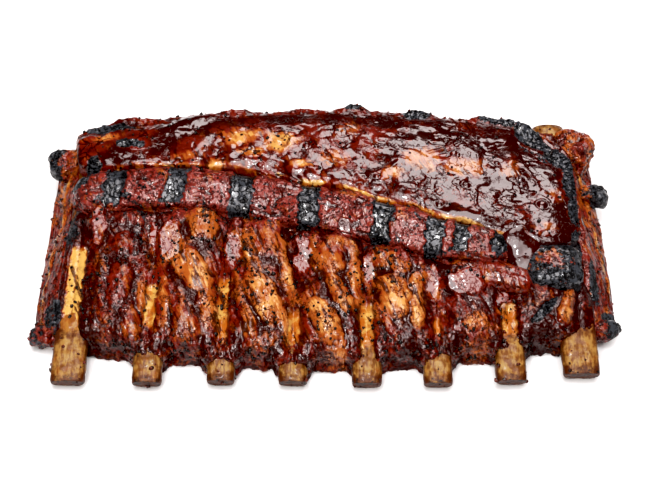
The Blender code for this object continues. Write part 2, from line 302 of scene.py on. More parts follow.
def add(tree, kind, inputs=(), **settings):  # a node with its inputs linked or set, in pairs of name and value
    node = tree.nodes.new(kind)
    for key, value in settings.items():
        setattr(node, key, value)
    for key, value in dict(inputs).items():
        if isinstance(value, bpy.types.NodeSocket):
            tree.links.new(value, node.inputs[key])
        else:
            node.inputs[key].default_value = value
    return node


def math2(tree, operation, a, b=0.0, c=0.0):
    return add(tree, "ShaderNodeMath", {0: a, 1: b, 2: c}, operation=operation).outputs[0]


def within(tree, value, low, high, to=(0.0, 1.0)):  # a value's range made 0 to 1, smoothly
    node = add(tree, "ShaderNodeMapRange", {0: value, 1: low, 2: high, 3: to[0], 4: to[1]},
               interpolation_type="SMOOTHSTEP")
    return node.outputs[0]


def blend(tree, a, b, factor, mode="MIX"):
    node = add(tree, "ShaderNodeMix", data_type="RGBA", blend_type=mode)
    for socket, value in ((node.inputs["Factor"], factor), (node.inputs[6], a), (node.inputs[7], b)):
        if isinstance(value, bpy.types.NodeSocket):
            tree.links.new(value, socket)
        else:
            socket.default_value = (*value, 1.0) if isinstance(value, tuple) else value
    return node.outputs[2]


def spots(tree, coords, size, detail=3.0, rough=0.55, stretch=(1, 1, 1), turn=0.0, lacunarity=2.0):
    # noise with lumps of that size in millimetres
    scale = tuple(size * mm * s for s in stretch)
    place = add(tree, "ShaderNodeMapping", {"Vector": coords, "Rotation": (0, 0, math.radians(turn)), "Scale": scale},
                vector_type="TEXTURE")
    node = add(tree, "ShaderNodeTexNoise", {"Vector": place.outputs[0], "Scale": 1.0, "Detail": detail,
                                            "Roughness": rough, "Lacunarity": lacunarity})
    return node.outputs[0]


def dots(tree, coords, size, share, radius):  # round specks: 1 inside, 0 outside; one cell in so many has one
    place = add(tree, "ShaderNodeMapping", {"Vector": coords, "Scale": (size * mm,) * 3}, vector_type="TEXTURE")
    node = add(tree, "ShaderNodeTexVoronoi", {"Vector": place.outputs[0], "Scale": 1.0})
    split = add(tree, "ShaderNodeSeparateColor", {0: node.outputs["Color"]})
    kept = math2(tree, "LESS_THAN", split.outputs[0], share)
    reach = math2(tree, "MULTIPLY_ADD", split.outputs[1], radius, 0.5 * radius)
    inside = within(tree, math2(tree, "DIVIDE", node.outputs["Distance"], reach), 1.1, 0.75)
    return math2(tree, "MULTIPLY", inside, kept)


def channels(tree, label):
    node = add(tree, "ShaderNodeAttribute", attribute_name=label)
    split = add(tree, "ShaderNodeSeparateColor", {0: node.outputs["Color"]})
    return split.outputs[0], split.outputs[1], split.outputs[2]


meatLook = dict(
    deep=(0.028, 0.0020, 0.0007), red=(0.135, 0.0125, 0.0055), orange=(0.29, 0.080, 0.016),
    pale=(0.54, 0.24, 0.080), amber=(0.34, 0.10, 0.012), straw=(0.54, 0.29, 0.085),
    char=(0.004, 0.0036, 0.004), ash=(0.042, 0.045, 0.052), crimson=(0.19, 0.031, 0.022),
)


def makeMeatMaterial(name):
    material, tree, shader = newMaterial(name)
    look = meatLook
    coords = add(tree, "ShaderNodeTexCoord").outputs["Object"]
    warm, char, amber = channels(tree, "tone")
    # the wet attribute: glaze mask, painted shade for the hollows, and how dark the sauce lies, with painted shadow and
    # painted shade in places
    glaze, hollowShade, shade = channels(tree, "wet")
    dry = math2(tree, "SUBTRACT", 1.0, glaze)
    calm, dull, rugged = channels(tree, "film")
    busy = math2(tree, "MULTIPLY_ADD", calm, -0.85, 1.0)
    broad = spots(tree, coords, 6.0, detail=5.0, rough=0.6)
    fine = spots(tree, coords, 1.6, detail=4.0, rough=0.65)
    fibre = spots(tree, coords, 1.3, detail=3.0, stretch=(1, 8, 3), turn=24.0)
    # flat plates with thin winding outlines, here and there
    flow = spots(tree, coords, 3.4, detail=4.0, rough=0.6)
    where = math2(tree, "MULTIPLY", within(tree, spots(tree, coords, 8.0, detail=2.0), 0.42, 0.54), busy)
    where = math2(tree, "MAXIMUM", where, rugged)
    side = math2(tree, "ABSOLUTE", math2(tree, "SUBTRACT", flow, 0.5))
    outline = math2(tree, "MULTIPLY", within(tree, side, 0.045, 0.012), where)
    plate = math2(tree, "MULTIPLY", within(tree, flow, 0.465, 0.535), where)
    speck = math2(tree, "MAXIMUM", dots(tree, coords, 2.6, 0.12, 0.20),
                  math2(tree, "MULTIPLY", dots(tree, coords, 1.7, 0.45, 0.22), rugged))
    # bare meat, from burgundy to orange and pale by its warmth; the rib face's paler crests are partly a painted
    # highlight, and the hollows get painted shade below
    wander = math2(tree, "MULTIPLY", math2(tree, "SUBTRACT", broad, 0.5), 1.5)
    strands = math2(tree, "MULTIPLY", math2(tree, "SUBTRACT", fibre, 0.5), 1.5)
    warmth = math2(tree, "ADD", warm, math2(tree, "ADD", wander, strands))
    colour = blend(tree, look["red"], look["crimson"], rugged)
    colour = blend(tree, colour, look["orange"], within(tree, warmth, 0.25, 0.75))
    colour = blend(tree, colour, look["pale"], within(tree, warmth, 0.78, 1.3))
    light = math2(tree, "ADD", broad, math2(tree, "MULTIPLY", within(tree, amber, 0.8, 1.0), 0.25))
    straw = blend(tree, look["amber"], look["straw"], within(tree, light, 0.45, 0.6))
    colour = blend(tree, colour, straw, within(tree, math2(tree, "ADD", amber, math2(tree, "MULTIPLY", wander, 0.4)), 0.3, 0.7))
    streak = spots(tree, coords, 2.8, detail=5.0, rough=0.6, stretch=(1, 5, 3), turn=24.0)
    colour = blend(tree, colour, look["deep"], math2(tree, "MULTIPLY", within(tree, streak, 0.55, 0.61), 0.85))
    mottle = math2(tree, "MULTIPLY", math2(tree, "SUBTRACT", fine, 0.5), math2(tree, "MULTIPLY", busy, 1.8))
    # darkening by the shade channel and mottle: sauce that lies thick, with painted shadow below the grilled roll and
    # painted shade on the roll's lower side
    stainAndShade = math2(tree, "ADD", shade, mottle)
    colour = blend(tree, colour, look["deep"], within(tree, stainAndShade, 0.25, 0.85))
    # painted shade: hollows and creases darkened towards deep
    colour = blend(tree, colour, look["deep"], math2(tree, "MULTIPLY", within(tree, hollowShade, 0.10, 0.6), 0.95))
    colour = blend(tree, colour, look["deep"], math2(tree, "MULTIPLY", outline, 0.8))
    # char with ragged edges, and black specks
    grain = spots(tree, coords, 2.0, detail=6.0, rough=0.7)
    burn = math2(tree, "ADD", char, math2(tree, "MULTIPLY", math2(tree, "SUBTRACT", grain, 0.5), 1.7))
    burnt = within(tree, burn, 0.44, 0.56)
    web = math2(tree, "ABSOLUTE", math2(tree, "SUBTRACT", spots(tree, coords, 3.2, detail=5.0, rough=0.65), 0.5))
    crack = math2(tree, "MULTIPLY", within(tree, web, 0.04, 0.012), burnt)
    clinker = math2(tree, "MULTIPLY_ADD", math2(tree, "ADD", fine, broad), 0.5, crack)
    coal = blend(tree, look["ash"], look["char"], within(tree, clinker, 0.51, 0.57))
    colour = blend(tree, colour, coal, burnt)
    colour = blend(tree, colour, look["char"], speck)
    tree.links.new(colour, shader.inputs["Base Color"])
    tree.links.new(math2(tree, "MULTIPLY_ADD", dry, 0.2, 0.25), shader.inputs["Roughness"])
    shader.inputs["Specular IOR Level"].default_value = 0.05
    coat = math2(tree, "MULTIPLY_ADD", dry, -0.38, 1.0)
    coat = math2(tree, "MULTIPLY", coat, math2(tree, "MULTIPLY_ADD", dull, -0.85, 1.0))
    broken = math2(tree, "MAXIMUM", speck, math2(tree, "MAXIMUM", crack, outline))
    coat = math2(tree, "MULTIPLY", coat, math2(tree, "MULTIPLY_ADD", broken, -0.85, 1.0))
    tree.links.new(coat, shader.inputs["Coat Weight"])
    shader.inputs["Coat Roughness"].default_value = 0.06
    shader.inputs["Coat IOR"].default_value = 1.55
    # relief in millimetres: plates, strands, pimples, specks and the cracks in the char
    pimple = spots(tree, coords, 1.0, detail=2.0, rough=0.6)
    relief = math2(tree, "MULTIPLY", plate, 0.2)
    calmer = math2(tree, "MULTIPLY", busy, math2(tree, "MULTIPLY_ADD", burnt, -0.85, 1.0))
    for layer, least, more in ((fibre, 0.05, 0.10), (pimple, 0.04, 0.12)):
        share = math2(tree, "MULTIPLY", math2(tree, "MULTIPLY_ADD", dry, more, least), calmer)
        relief = math2(tree, "ADD", relief, math2(tree, "MULTIPLY", layer, share))
    relief = math2(tree, "MULTIPLY_ADD", crack, -0.2, relief)
    relief = math2(tree, "MULTIPLY_ADD", speck, 0.2, relief)
    bumpy = add(tree, "ShaderNodeBump", {"Height": relief, "Strength": 1.0, "Distance": mm})
    tree.links.new(bumpy.outputs[0], shader.inputs["Normal"])
    tree.links.new(bumpy.outputs[0], shader.inputs["Coat Normal"])
    return material


boneLook = dict(ivory=(0.27, 0.150, 0.044), tan=(0.125, 0.046, 0.009), brown=(0.065, 0.016, 0.004),
                amber=(0.36, 0.11, 0.012), black=(0.008, 0.006, 0.006))


def makeBoneMaterial():
    material, tree, shader = newMaterial("ribBone")
    look = boneLook
    coords = add(tree, "ShaderNodeTexCoord").outputs["Object"]
    brown, amber, burnt = channels(tree, "tone")
    grain = spots(tree, coords, 1.1, detail=4.0, stretch=(1, 7, 1.5))
    broad = spots(tree, coords, 3.5, detail=4.0)
    light = math2(tree, "ADD", math2(tree, "MULTIPLY", grain, 0.5), math2(tree, "MULTIPLY", broad, 0.6))
    colour = blend(tree, look["tan"], look["ivory"], within(tree, light, 0.47, 0.64))
    fine = spots(tree, coords, 1.6, detail=5.0, rough=0.7)
    lines = spots(tree, coords, 0.8, detail=3.0, stretch=(1, 6, 1.5))
    colour = blend(tree, colour, look["brown"], math2(tree, "MULTIPLY", within(tree, lines, 0.55, 0.68), 0.6))
    stained = math2(tree, "ADD", brown, math2(tree, "MULTIPLY", math2(tree, "SUBTRACT", fine, 0.5), 1.6))
    colour = blend(tree, colour, look["amber"], amber)
    colour = blend(tree, colour, look["brown"], within(tree, stained, 0.3, 0.9))
    speck = spots(tree, coords, 1.5, detail=6.0, rough=0.75)
    black = math2(tree, "ADD", burnt, math2(tree, "MULTIPLY", math2(tree, "SUBTRACT", speck, 0.5), 1.8))
    colour = blend(tree, colour, look["black"], within(tree, black, 0.42, 0.55))
    tree.links.new(colour, shader.inputs["Base Color"])
    shader.inputs["Roughness"].default_value = 0.45
    shader.inputs["Specular IOR Level"].default_value = 0.15
    shine = math2(tree, "MULTIPLY_ADD", amber, 0.5, 0.2)
    shine = math2(tree, "MULTIPLY", shine, math2(tree, "MULTIPLY_ADD", brown, -0.9, 1.0))
    tree.links.new(shine, shader.inputs["Coat Weight"])
    shader.inputs["Coat Roughness"].default_value = 0.12
    relief = math2(tree, "ADD", grain, math2(tree, "MULTIPLY", fine, 0.6))
    over = add(tree, "ShaderNodeBump", {"Height": relief, "Strength": 0.5, "Distance": 0.5 * mm})
    tree.links.new(over.outputs[0], shader.inputs["Normal"])
    return material


meatMaterial = makeMeatMaterial("glazedMeat")
boneMaterial = makeBoneMaterial()


# ---- meat surface: detail that is pushed out along a base form, and the glaze that fills it ----
# burnt places on the rack: x, y, reach along x and y, turn in degrees, strength
burns = (
    (-95, 53, 13, 3.2, -4, 1.0), (-100, 31, 3.6, 6, 10, 1.0), (-84.6, 41, 7.5, 2.8, -5, 0.9),
    (-105.5, 23, 4.2, 5.2, 20, 1.2), (77, 56.5, 12, 3, -8, 0.9), (91, 48.5, 11, 4.8, -38, 1.1),
    (102, 37, 9, 5.5, -50, 1.0), (105.3, 23, 4.4, 10, 0, 0.9), (106, 7, 3.4, 9, 0, 0.85), (105.8, -9, 3, 7, 0, 1.0),
    (96, 36, 6, 4, -30, 0.55), (88, 41, 5, 2.5, -30, 0.5),
    (13, 62, 5, 2.4, 0, 0.9), (39.6, 58.5, 7.5, 3.2, -6, 1.0), (-112.3, -37, 4.5, 9, 0, 0.7),
    (120, -37, 6, 6, 0, 1.3), (90, -39, 2.2, 8, -48, 0.9), (-108, 3, 4, 12, 0, 0.6), (112.5, -22, 2.4, 12, 4, 0.8),
)


def burnAt(p, wander=1.6):
    q = p + np.stack([fractal(p, 5.0, 3, 71) * wander, fractal(p, 5.0, 3, 72) * wander, 0 * p[..., 0]], -1)
    total = np.zeros(p.shape[:-1], np.float32)
    for x, y, wide, deep, turn, strength in burns:
        local = turned(q - np.array((x, y, 0.0)), turn)
        away = np.hypot(local[..., 0] / wide, local[..., 1] / deep)
        total = np.maximum(total, strength * (1 - step(away, 0.55, 1.25)))
    return total


def pour(relief, level, spread, thick):  # glaze fills the relief up to a smoothed level; returns both with its mask
    film = soften(relief, spread) + level
    wet = step(film - relief, -0.04, thick)
    return softMax(relief, film, 0.16), wet


def terraced(relief, rise, soft):  # flat plates with short steps between them
    level = np.floor(relief / rise)
    part = relief / rise - level
    return rise * (level + step(part, 0.5 - soft, 0.5 + soft))


def pushed(p, height, fade=1.0):
    return p + normalsOf(p) * (height * fade)[..., None]


# ---- the slab that both the rib face and the base are cut from ----
# for each gap between bones: rise over them, sideways lean, how far it hangs out in front, warmth of its meat
humps = np.array(((4.6, -0.10, 0, 0.10), (5.2, 0.08, 0, 0.62), (6, 0.04, 0.5, 0.80), (6, 0.04, 1.4, 0.70),
                  (5.6, -0.06, 1.4, 0.78), (5, 0.06, 0, 0.35), (5.4, 0.10, 0, 0.30)))
# for each bone: y of its bare stretch's ends, half width of the strip that shows
strips = np.array(((-75, -6, 3.2), (-45, -24, 2.3), (-50, -21, 2.2), (-52, -36, 2.6), (-75, -34, 2.7),
                   (-48, -39, 1.2), (-48, -34, 3.3), (-75, -47, 5.5)))


def gapLook(x0):
    gap, place = gapAt(x0)
    left, right = np.clip(gap, 0, 7), np.clip(gap + 1, 0, 7)
    inner = (gap >= 0) & (gap < 7)
    past = np.where(gap < 0, 1 - place, np.where(gap > 6, place, 0.0))
    return gap, place, left, right, inner, past


def faceHeight(x0, y, cover=1.4):  # height of the rib face's form, with the bare strips sunk into it
    gap, place, left, right, inner, past = gapLook(x0)
    tipY = np.where(gap < 0, tips[0, 1], mix(tips[left, 1], tips[right, 1], place))
    near = np.where((place > 0.5) | (gap < 0), right, left)
    near = np.where(gap > 6, 7, near)
    away = np.abs(x0 - tipX[near])
    front, back, width = (strips[near, k] for k in range(3))
    edge = fractal(np.stack(np.broadcast_arrays(x0, y, 0 * y), -1), 3.2, 3, 5) * 1.3
    bare = step(y + edge * 1.5, front - 1.5, front + 2.5) * (1 - step(y + edge * 1.5, back - 3, back + 2))
    bare = bare * (1 - step(away + edge, width - 0.7, width + 1.5))
    skinned = mix(-0.9 - 0.25 * away, 0.5 - 0.07 * away**2, step(y - frontAt(x0), 2, 8))
    over = mix(cover, skinned, bare) - 0.9 * bump(away - width - 1.2, 1.2) * step(bare, 0.01, 0.2)
    rise, lean = 0.88 * humps[np.clip(gap, 0, 6), 0], humps[np.clip(gap, 0, 6), 1]
    side = 2 * place - 1
    side = side - lean * (1 - side**2)
    rise = rise * (1 - 0.2 * np.maximum(0, 1 - (y + 54) / 34))
    hump = np.where(inner, rise * (1 - np.abs(side) ** 2.4), 4.0 * np.sin(math.pi * past))
    under = step(y - eased(x0, rollLine, 1), -17, -8)
    return boneTop(y, tipY) + over * np.where(inner, 1, 1 - past) + hump * (1 - 0.8 * under), bare


def slabAt(x0, s, upper, bed=True):  # columns x0 and shares s from -1 at the front rim to 1 at the back rim
    gap, place, left, right, inner, past = gapLook(x0)
    outward = np.abs(x0 / rack["halfLength"])
    end = np.maximum(1 - outward**7, 0) ** (1 / 7)
    hang = np.where(inner, humps[np.clip(gap, 0, 6), 2] * np.sin(math.pi * place), 0)
    low, high = frontAt(x0) - hang, backAt(x0)
    y = (low + high) / 2 + (high - low) / 2 * end**0.35 * s
    share = (y - low) / (high - low)
    x = x0 * (1 + (mix(rack["narrowing"], rack["endNarrowing"], outward**4) - 1) * share)
    rim = mix(4.5, 10.5, share)
    full = np.maximum(1 - np.abs(s) ** 7, 0) ** (1 / 7) * end
    if upper:
        level, bare = faceHeight(x0 + 0 * y, y)
        if bed:
            ramp = np.clip((y - lipAt(x) + 14) / 11, 0, 1)
            level = mix(level, np.maximum(level, rack["bed"]), ramp)
        level = level * (1 - past**rack["sideBulge"] * (1 - rack["sideShare"]))
    else:
        arch = np.maximum(0, 1 - ((y - rack["archCentre"]) / rack["archHalfSpan"]) ** 2)
        ridge = rack["boneRidge"] * np.cos(math.pi * place) ** 2 * np.minimum(1, arch * 3)
        level = rack["archRise"] * arch - rack["contactSink"] - ridge
    return np.stack([x, y, np.maximum(rim + (level - rim) * full, 0)], -1)


# ---- the grilled roll's line, which the rib face runs under ----
rollLine = ((-109, 18.5, 23, 8.6, 7.4), (-90, 20.5, 26.5, 10, 8.6), (-62, 21, 27.3, 10.4, 9), (-32, 15.8, 27.6, 10.4, 9),
            (0, 8.2, 27.6, 10.4, 9), (25, 1.2, 27.2, 10, 8.8), (48, -5.8, 26.2, 9.2, 8.4),
            (66, -9, 25.2, 8.2, 7.8), (80, -12.5, 24.2, 6.4, 6.6), (98, -16, 22, 6, 6), (113, -14, 20, 6, 6))


# ---- piece: the rib face ----
ribFace = dict(reach=111.5, columns=496, rows=176, hidden=8, fold=2.0)
collars = (0.5, 4.2, 4.5, 4.5, 3.0, 4.5, 3.5, 2.5)  # how far the meat reaches out over each bone
# dark sauce lying at the top of each groove: x, y, half width, half length
pools = ((-95, 1, 3.5, 9), (-64.4, -7, 5.5, 11), (-37.8, -10, 4.6, 10), (-8.4, -13, 4.4, 9), (18.8, -21, 4.2, 9),
         (44.4, -27, 4.6, 8), (73, -35, 3.6, 6), (58, -28, 10, 5), (-72, -3, 3, 7))


def poolAt(p):  # where sauce lies, each pool on its own
    q = p[..., :2] + np.stack([fractal(p, 5.0, 3, 31), fractal(p, 5.0, 3, 32)], -1) * 3.6
    return [1 - step(np.hypot((q[..., 0] - x) / wide, (q[..., 1] - y) / deep), 0.75, 1.05) for x, y, wide, deep in pools]


def settled(p, own, place):  # sauce that lies as a flat sheet, leaning towards the front
    near = (np.hypot(p[..., 0] - place[0], p[..., 1] - place[1]) < 2.5) & (p[..., 2] > 12)
    middle = p[near][:, 2].mean() - 0.2
    flat = middle + 0.45 * (p[..., 1] - place[1]) + 0.55 * fractal(p, 3.6, 3, 33)
    p[..., 2] = mix(p[..., 2], flat, 0.85 * own * (p[..., 2] > 12))
    return p


# lobes of meat on the humps: x, y, half width, half length, turn in degrees, rise, warmth, shade
lobes = (
    (-93, -22, 3.0, 14, 5, 1.2, 0.35, 0.35), (-85, -27, 4.2, 11, -8, 2.2, 0.10, 0.25),
    (-84, -8, 5, 6, 0, 1.6, 0.20, 0.4), (-90, -44, 5.5, 9, 20, 1.5, 0.35, 0.4),
    (-80, -44, 3.5, 10, 15, 1.6, 0.45, 0.4), (-75.5, -33, 1.9, 11, 3, 1.2, 0.6, 0.1),
    (-66, -34, 1.6, 12, 4, 1.0, 0.7, 0.1), (-52, 1, 5.5, 7, 10, 2.2, 0.85, 0.0),
    (-56, -20, 5.5, 13, 28, 2.2, 0.95, 0.0), (-48.5, -36, 3.4, 12, 12, 1.6, 0.75, 0.25),
    (-57, -42, 4.0, 10, 22, 1.8, 0.6, 0.2), (-57.5, -50, 4, 5, 5, 1.4, 0.35, 0.4),
    (-62, -38, 2.2, 14, 18, 1.2, 0.2, 0.6), (-25, -8, 6.5, 9, 25, 2.2, 0.65, 0.1),
    (-17.5, -17, 2.4, 15, 14, 2.0, 0.8, 0.0), (-33, -8, 1.8, 9, 5, 1.4, 0.85, 0.0),
    (-29, -20, 3, 6, 30, 1.2, 0.9, 0.0), (-26, -34, 5.2, 13, 22, 2.6, 0.9, 0.0),
    (-19.5, -38, 2.2, 13, 16, 1.8, 0.85, 0.1), (-31, -45, 2.6, 10, 14, 1.8, 0.8, 0.0),
    (-26, -54, 4, 4, 0, 1.2, 0.3, 0.4), (-35, -32, 1.8, 14, 4, 1.0, 0.4, 0.4), (-24, 3, 2.0, 8, 85, 1.8, 0.85, 0.0),
    (3, -15, 6.5, 8.5, 5, 2.6, 0.6, 0.0), (-4, -12, 1.8, 9, 0, 1.6, 0.85, 0.0), (11.5, -20, 2.6, 14, 5, 2.0, 0.75, 0.1),
    (6, -33, 3.4, 11, 25, 2.2, 0.85, 0.0), (0.5, -45, 4.4, 11, 24, 2.6, 1.0, 0.0), (7, -52, 2.0, 6, 12, 1.6, 0.9, 0.1),
    (-6, -48, 1.6, 10, 14, 1.0, 0.3, 0.5), (12, -48, 3, 9, 5, 1.0, 0.15, 0.8), (5, -4, 2, 9, 85, 1.6, 0.65, 0.1),
    (24, -17, 3, 5, 10, 2.0, 0.95, 0.0), (30, -20, 3.5, 6, 35, 1.8, 0.75, 0.0), (29, -33, 6.0, 10, 18, 2.6, 1.0, 0.0),
    (37.5, -27, 3.0, 6, -20, 2.0, 0.9, 0.0), (37.5, -40, 2.6, 8, 5, 2.2, 1.05, 0.0), (25.5, -45, 2.0, 10, 30, 1.4, 0.5, 0.2),
    (33, -52, 6, 4.5, 10, 1.4, 0.15, 0.7), (46, -29, 3.6, 6, 0, 1.6, 0.3, 0.4), (54, -40, 4, 8, 10, 1.2, 0.1, 0.7), (46.5, -40, 3.0, 7, 4, 1.0, 0.35, 0.4),
    (57, -27, 3.2, 9, 50, 2.2, 0.05, 0.9), (62, -47, 6.5, 6.5, 0, 2.4, 0.55, 0.25), (88, -34, 5, 5, 0, 1.8, 0.55, 0.2),
    (99, -36, 2.6, 9, -15, 2.2, 0.8, 0.0), (89, -43, 3.4, 6, 0, 1.2, 0.1, 0.7), (95, -47, 3.0, 5, -10, 1.4, 0.5, 0.4),
)


def lobesAt(p):  # rise, warmth and shade of the lobes
    q = p + np.stack([fractal(p, 6.0, 3, 51) * 1.6, fractal(p, 6.0, 3, 52) * 1.6, 0 * p[..., 0]], -1)
    height = np.zeros(p.shape[:-1], np.float32)
    weight = np.full(p.shape[:-1], 1.0, np.float32)
    warm, shade = 0.25 * weight, 0.55 * weight
    for x, y, wide, deep, turn, rise, warmth, dark in lobes:
        local = turned(q - np.array((x, y, 0.0)), turn)
        out = (local[..., 0] / (1.3 * wide)) ** 2 + np.abs(local[..., 1] / (1.15 * deep)) ** 2.4
        own = rise * np.maximum(1 - out, 0) ** 0.8
        height = softMax(height, own, 0.5)
        own = 6 * np.exp(-2.2 * out)
        warm, shade, weight = warm + warmth * own, shade + dark * own, weight + own
    return height, warm / weight, shade / weight


def meatRelief(p, twist=0.45, lumps=0.8, seed=0):  # bundles and strands that run to the lower right
    along = np.stack([p[..., 0] + twist * p[..., 1], p[..., 1] - twist * p[..., 0], p[..., 2]], -1)
    along = along + np.stack([fractal(p, 7.0, 3, seed + k) * 4.0 for k in (1, 2, 3)], -1)
    bundle = fractal(along / np.array((6.5, 24.0, 14.0)), 1.0, 2, seed + 4)
    strand = fractal(along / np.array((1.9, 12.0, 6.0)), 1.0, 3, seed + 5)
    bundles = 1.3 * np.abs(bundle) - 0.55 * bump(bundle, 0.05)
    strands = 0.3 * np.abs(strand) + 0.2 * strand
    pits = -0.4 * step(fractal(p, 2.2, 2, seed + 7), 0.25, 0.5) + 0.3 * fractal(p, 3.2, 2, seed + 8)
    return lumps * 1.2 * fractal(p, 9.0, 3, seed + 6) + bundles + strands + pits


def makeRibFace():
    look = ribFace
    x0 = np.linspace(-look["reach"], look["reach"], look["columns"])[:, None]
    wall, height = squareArc(260)
    rearY = eased(x0, rollLine, 1) + 3
    middle = (frontAt(x0) + backAt(x0)) / 2
    half = (backAt(x0) - frontAt(x0)) / 2
    rearShare = (rearY - middle) / half
    inside = np.linspace(0, 1, 160)[None]
    over = np.concatenate([mix(rearShare, -0.9, inside), -wall[wall > 0.9][::-1][None] + 0 * x0], 1)
    under = np.concatenate([-wall[wall > 0.9][None] + 0 * x0, mix(-0.9, -0.78, np.linspace(0, 1, 12))[None] + 0 * x0], 1)
    top, foot = slabAt(x0, over, True, bed=False), slabAt(x0, under, False)
    shown, tucked = look["rows"], look["hidden"]
    rings = []
    for a, b in zip(top, foot):
        path = evenPath(np.vstack([a, b]), shown)
        start, last = path[0], path[-1]
        back = np.array([last, last + (0, 8, 5), start - (0, 2, 8), start])
        rings.append(np.vstack([path, evenPath(back, tucked + 2)[1:-1]]))
    p = np.array(rings)
    x0 = x0 + 0 * p[..., 0]
    gap, place, left, right, inner, past = gapLook(x0)
    ahead = 1 - step(p[..., 1] - frontAt(x0), 0, 9)
    for (middleX, _, half), reach in zip(tips, collars):
        beside = np.abs(p[..., 0] - middleX) + fractal(p, 4, 2, 43)
        p[..., 1] -= (reach + 1.2 * fractal(p, 3, 2, 42)) * ahead * (1 - step(beside, half - 0.5, half + 3))
    row = np.arange(p.shape[1])[None] + 0 * x0
    live = 1 - step(row, shown - 12, shown - 3)
    crest = np.where(inner, 1 - np.abs(2 * place - 1) ** 2, 0.35)
    front = 1 - step(p[..., 1] - frontAt(x0), -2, 9)
    edge = 1 - step(np.abs(x0), look["reach"] - 5, look["reach"])
    height, bare = faceHeight(x0, p[..., 1])
    bare = bare * live
    owned = [own * (1 - bare) * live for own in poolAt(p)]
    pool = np.maximum.reduce(owned)
    calm = np.clip(1 - 0.75 * bare, 0, 1)
    lobe, lobeWarm, lobeShade = lobesAt(p)
    relief = (1.2 * lobe + 0.55 * meatRelief(p, lumps=0.9)) * calm * (1 - 0.3 * front)
    relief = relief + 0.35 * calm * terraced(2.0 * fractal(p, 6, 3, 37), 0.5, 0.15)
    crumbly = fractal(p, 2.4, 3, 44, sharp=True)
    top = bump(p[..., 1] - eased(x0, rollLine, 1) + 13, 6)
    relief = relief + top * (2.2 + 2.2 * fractal(p, 6.5, 3, 41) + terraced(1.2 * fractal(p, 4, 2, 40), 0.5, 0.15))
    relief = relief + front * (1.0 * crumbly + 1.6 * fractal(p, 6, 3, 45))
    level = -0.75 + 1.7 * pool + 0.5 * fractal(p, 12, 3, 46) * (1 - pool) + 0.25 * front
    film, wet = pour(relief, level, 5, 0.22)
    total = film * live * edge
    # painted shade: the hollows, by how far the relief lies below its smoothed level
    hollowShade = np.clip((soften(relief, 7) - relief) * 1.0, 0, 1)
    char = burnAt(p) * (1 - bare) + 0.22 * front * step(fractal(p, 5, 3, 47), 0.0, 0.5)
    # painted highlight: crests above the smoothed relief are painted warmer and paler
    raised = np.clip((relief - soften(relief, 7)) * 0.8, 0, 1)
    warm = lobeWarm * (1 - 0.2 * front) + 0.35 * fractal(p, 9, 3, 48) + 0.28 * raised
    # painted shadow: a band just below the grilled roll's lower edge is darkened through the shade channel
    under = bump(p[..., 1] - eased(x0, rollLine, 1) + 11, 3.5)
    warm = warm + top * (0.9 * fractal(p, 4.5, 3, 39) - 0.25)
    char = char + top * 0.6 * step(fractal(p, 5, 3, 38), 0.1, 0.35)
    darker = 0.3 * step(np.abs(p[..., 0] + 12), 68, 92)
    shade = lobeShade * (1 - pool) + 0.12 * front + 0.25 * under + 0.55 * fractal(p, 8, 3, 49) - 0.05 + darker
    shade = mix(shade, 0.3 * fractal(p, 5, 3, 50) + 0.28 * (p[..., 0] > -90), 0.85 * bare)
    dull = np.maximum(1 - step(p[..., 2], 4, 9), 0.6 * darker)
    ivory = bare * (0.75 + 0.25 * (p[..., 0] < -90))
    marks = dict(tone=(warm, char, ivory), wet=(np.clip(wet, 0, 1), hollowShade * (1 - 0.6 * pool - 0.6 * bare), shade),
                 film=(np.maximum(0.6 * pool, 0.75 * bare), dull, 0.9 * top * (1 - pool)))
    p = pushed(p, total)
    for own, place in zip(owned, pools):
        p = settled(p, own, place)
    return skin("ribFace", p, marks, meatMaterial)


# ---- piece: the base, with the cut ends, the back wall and the underside ----
meatBase = dict(columns=300, rows=330, sunk=2.6, inset=3.6, reach=111.5)


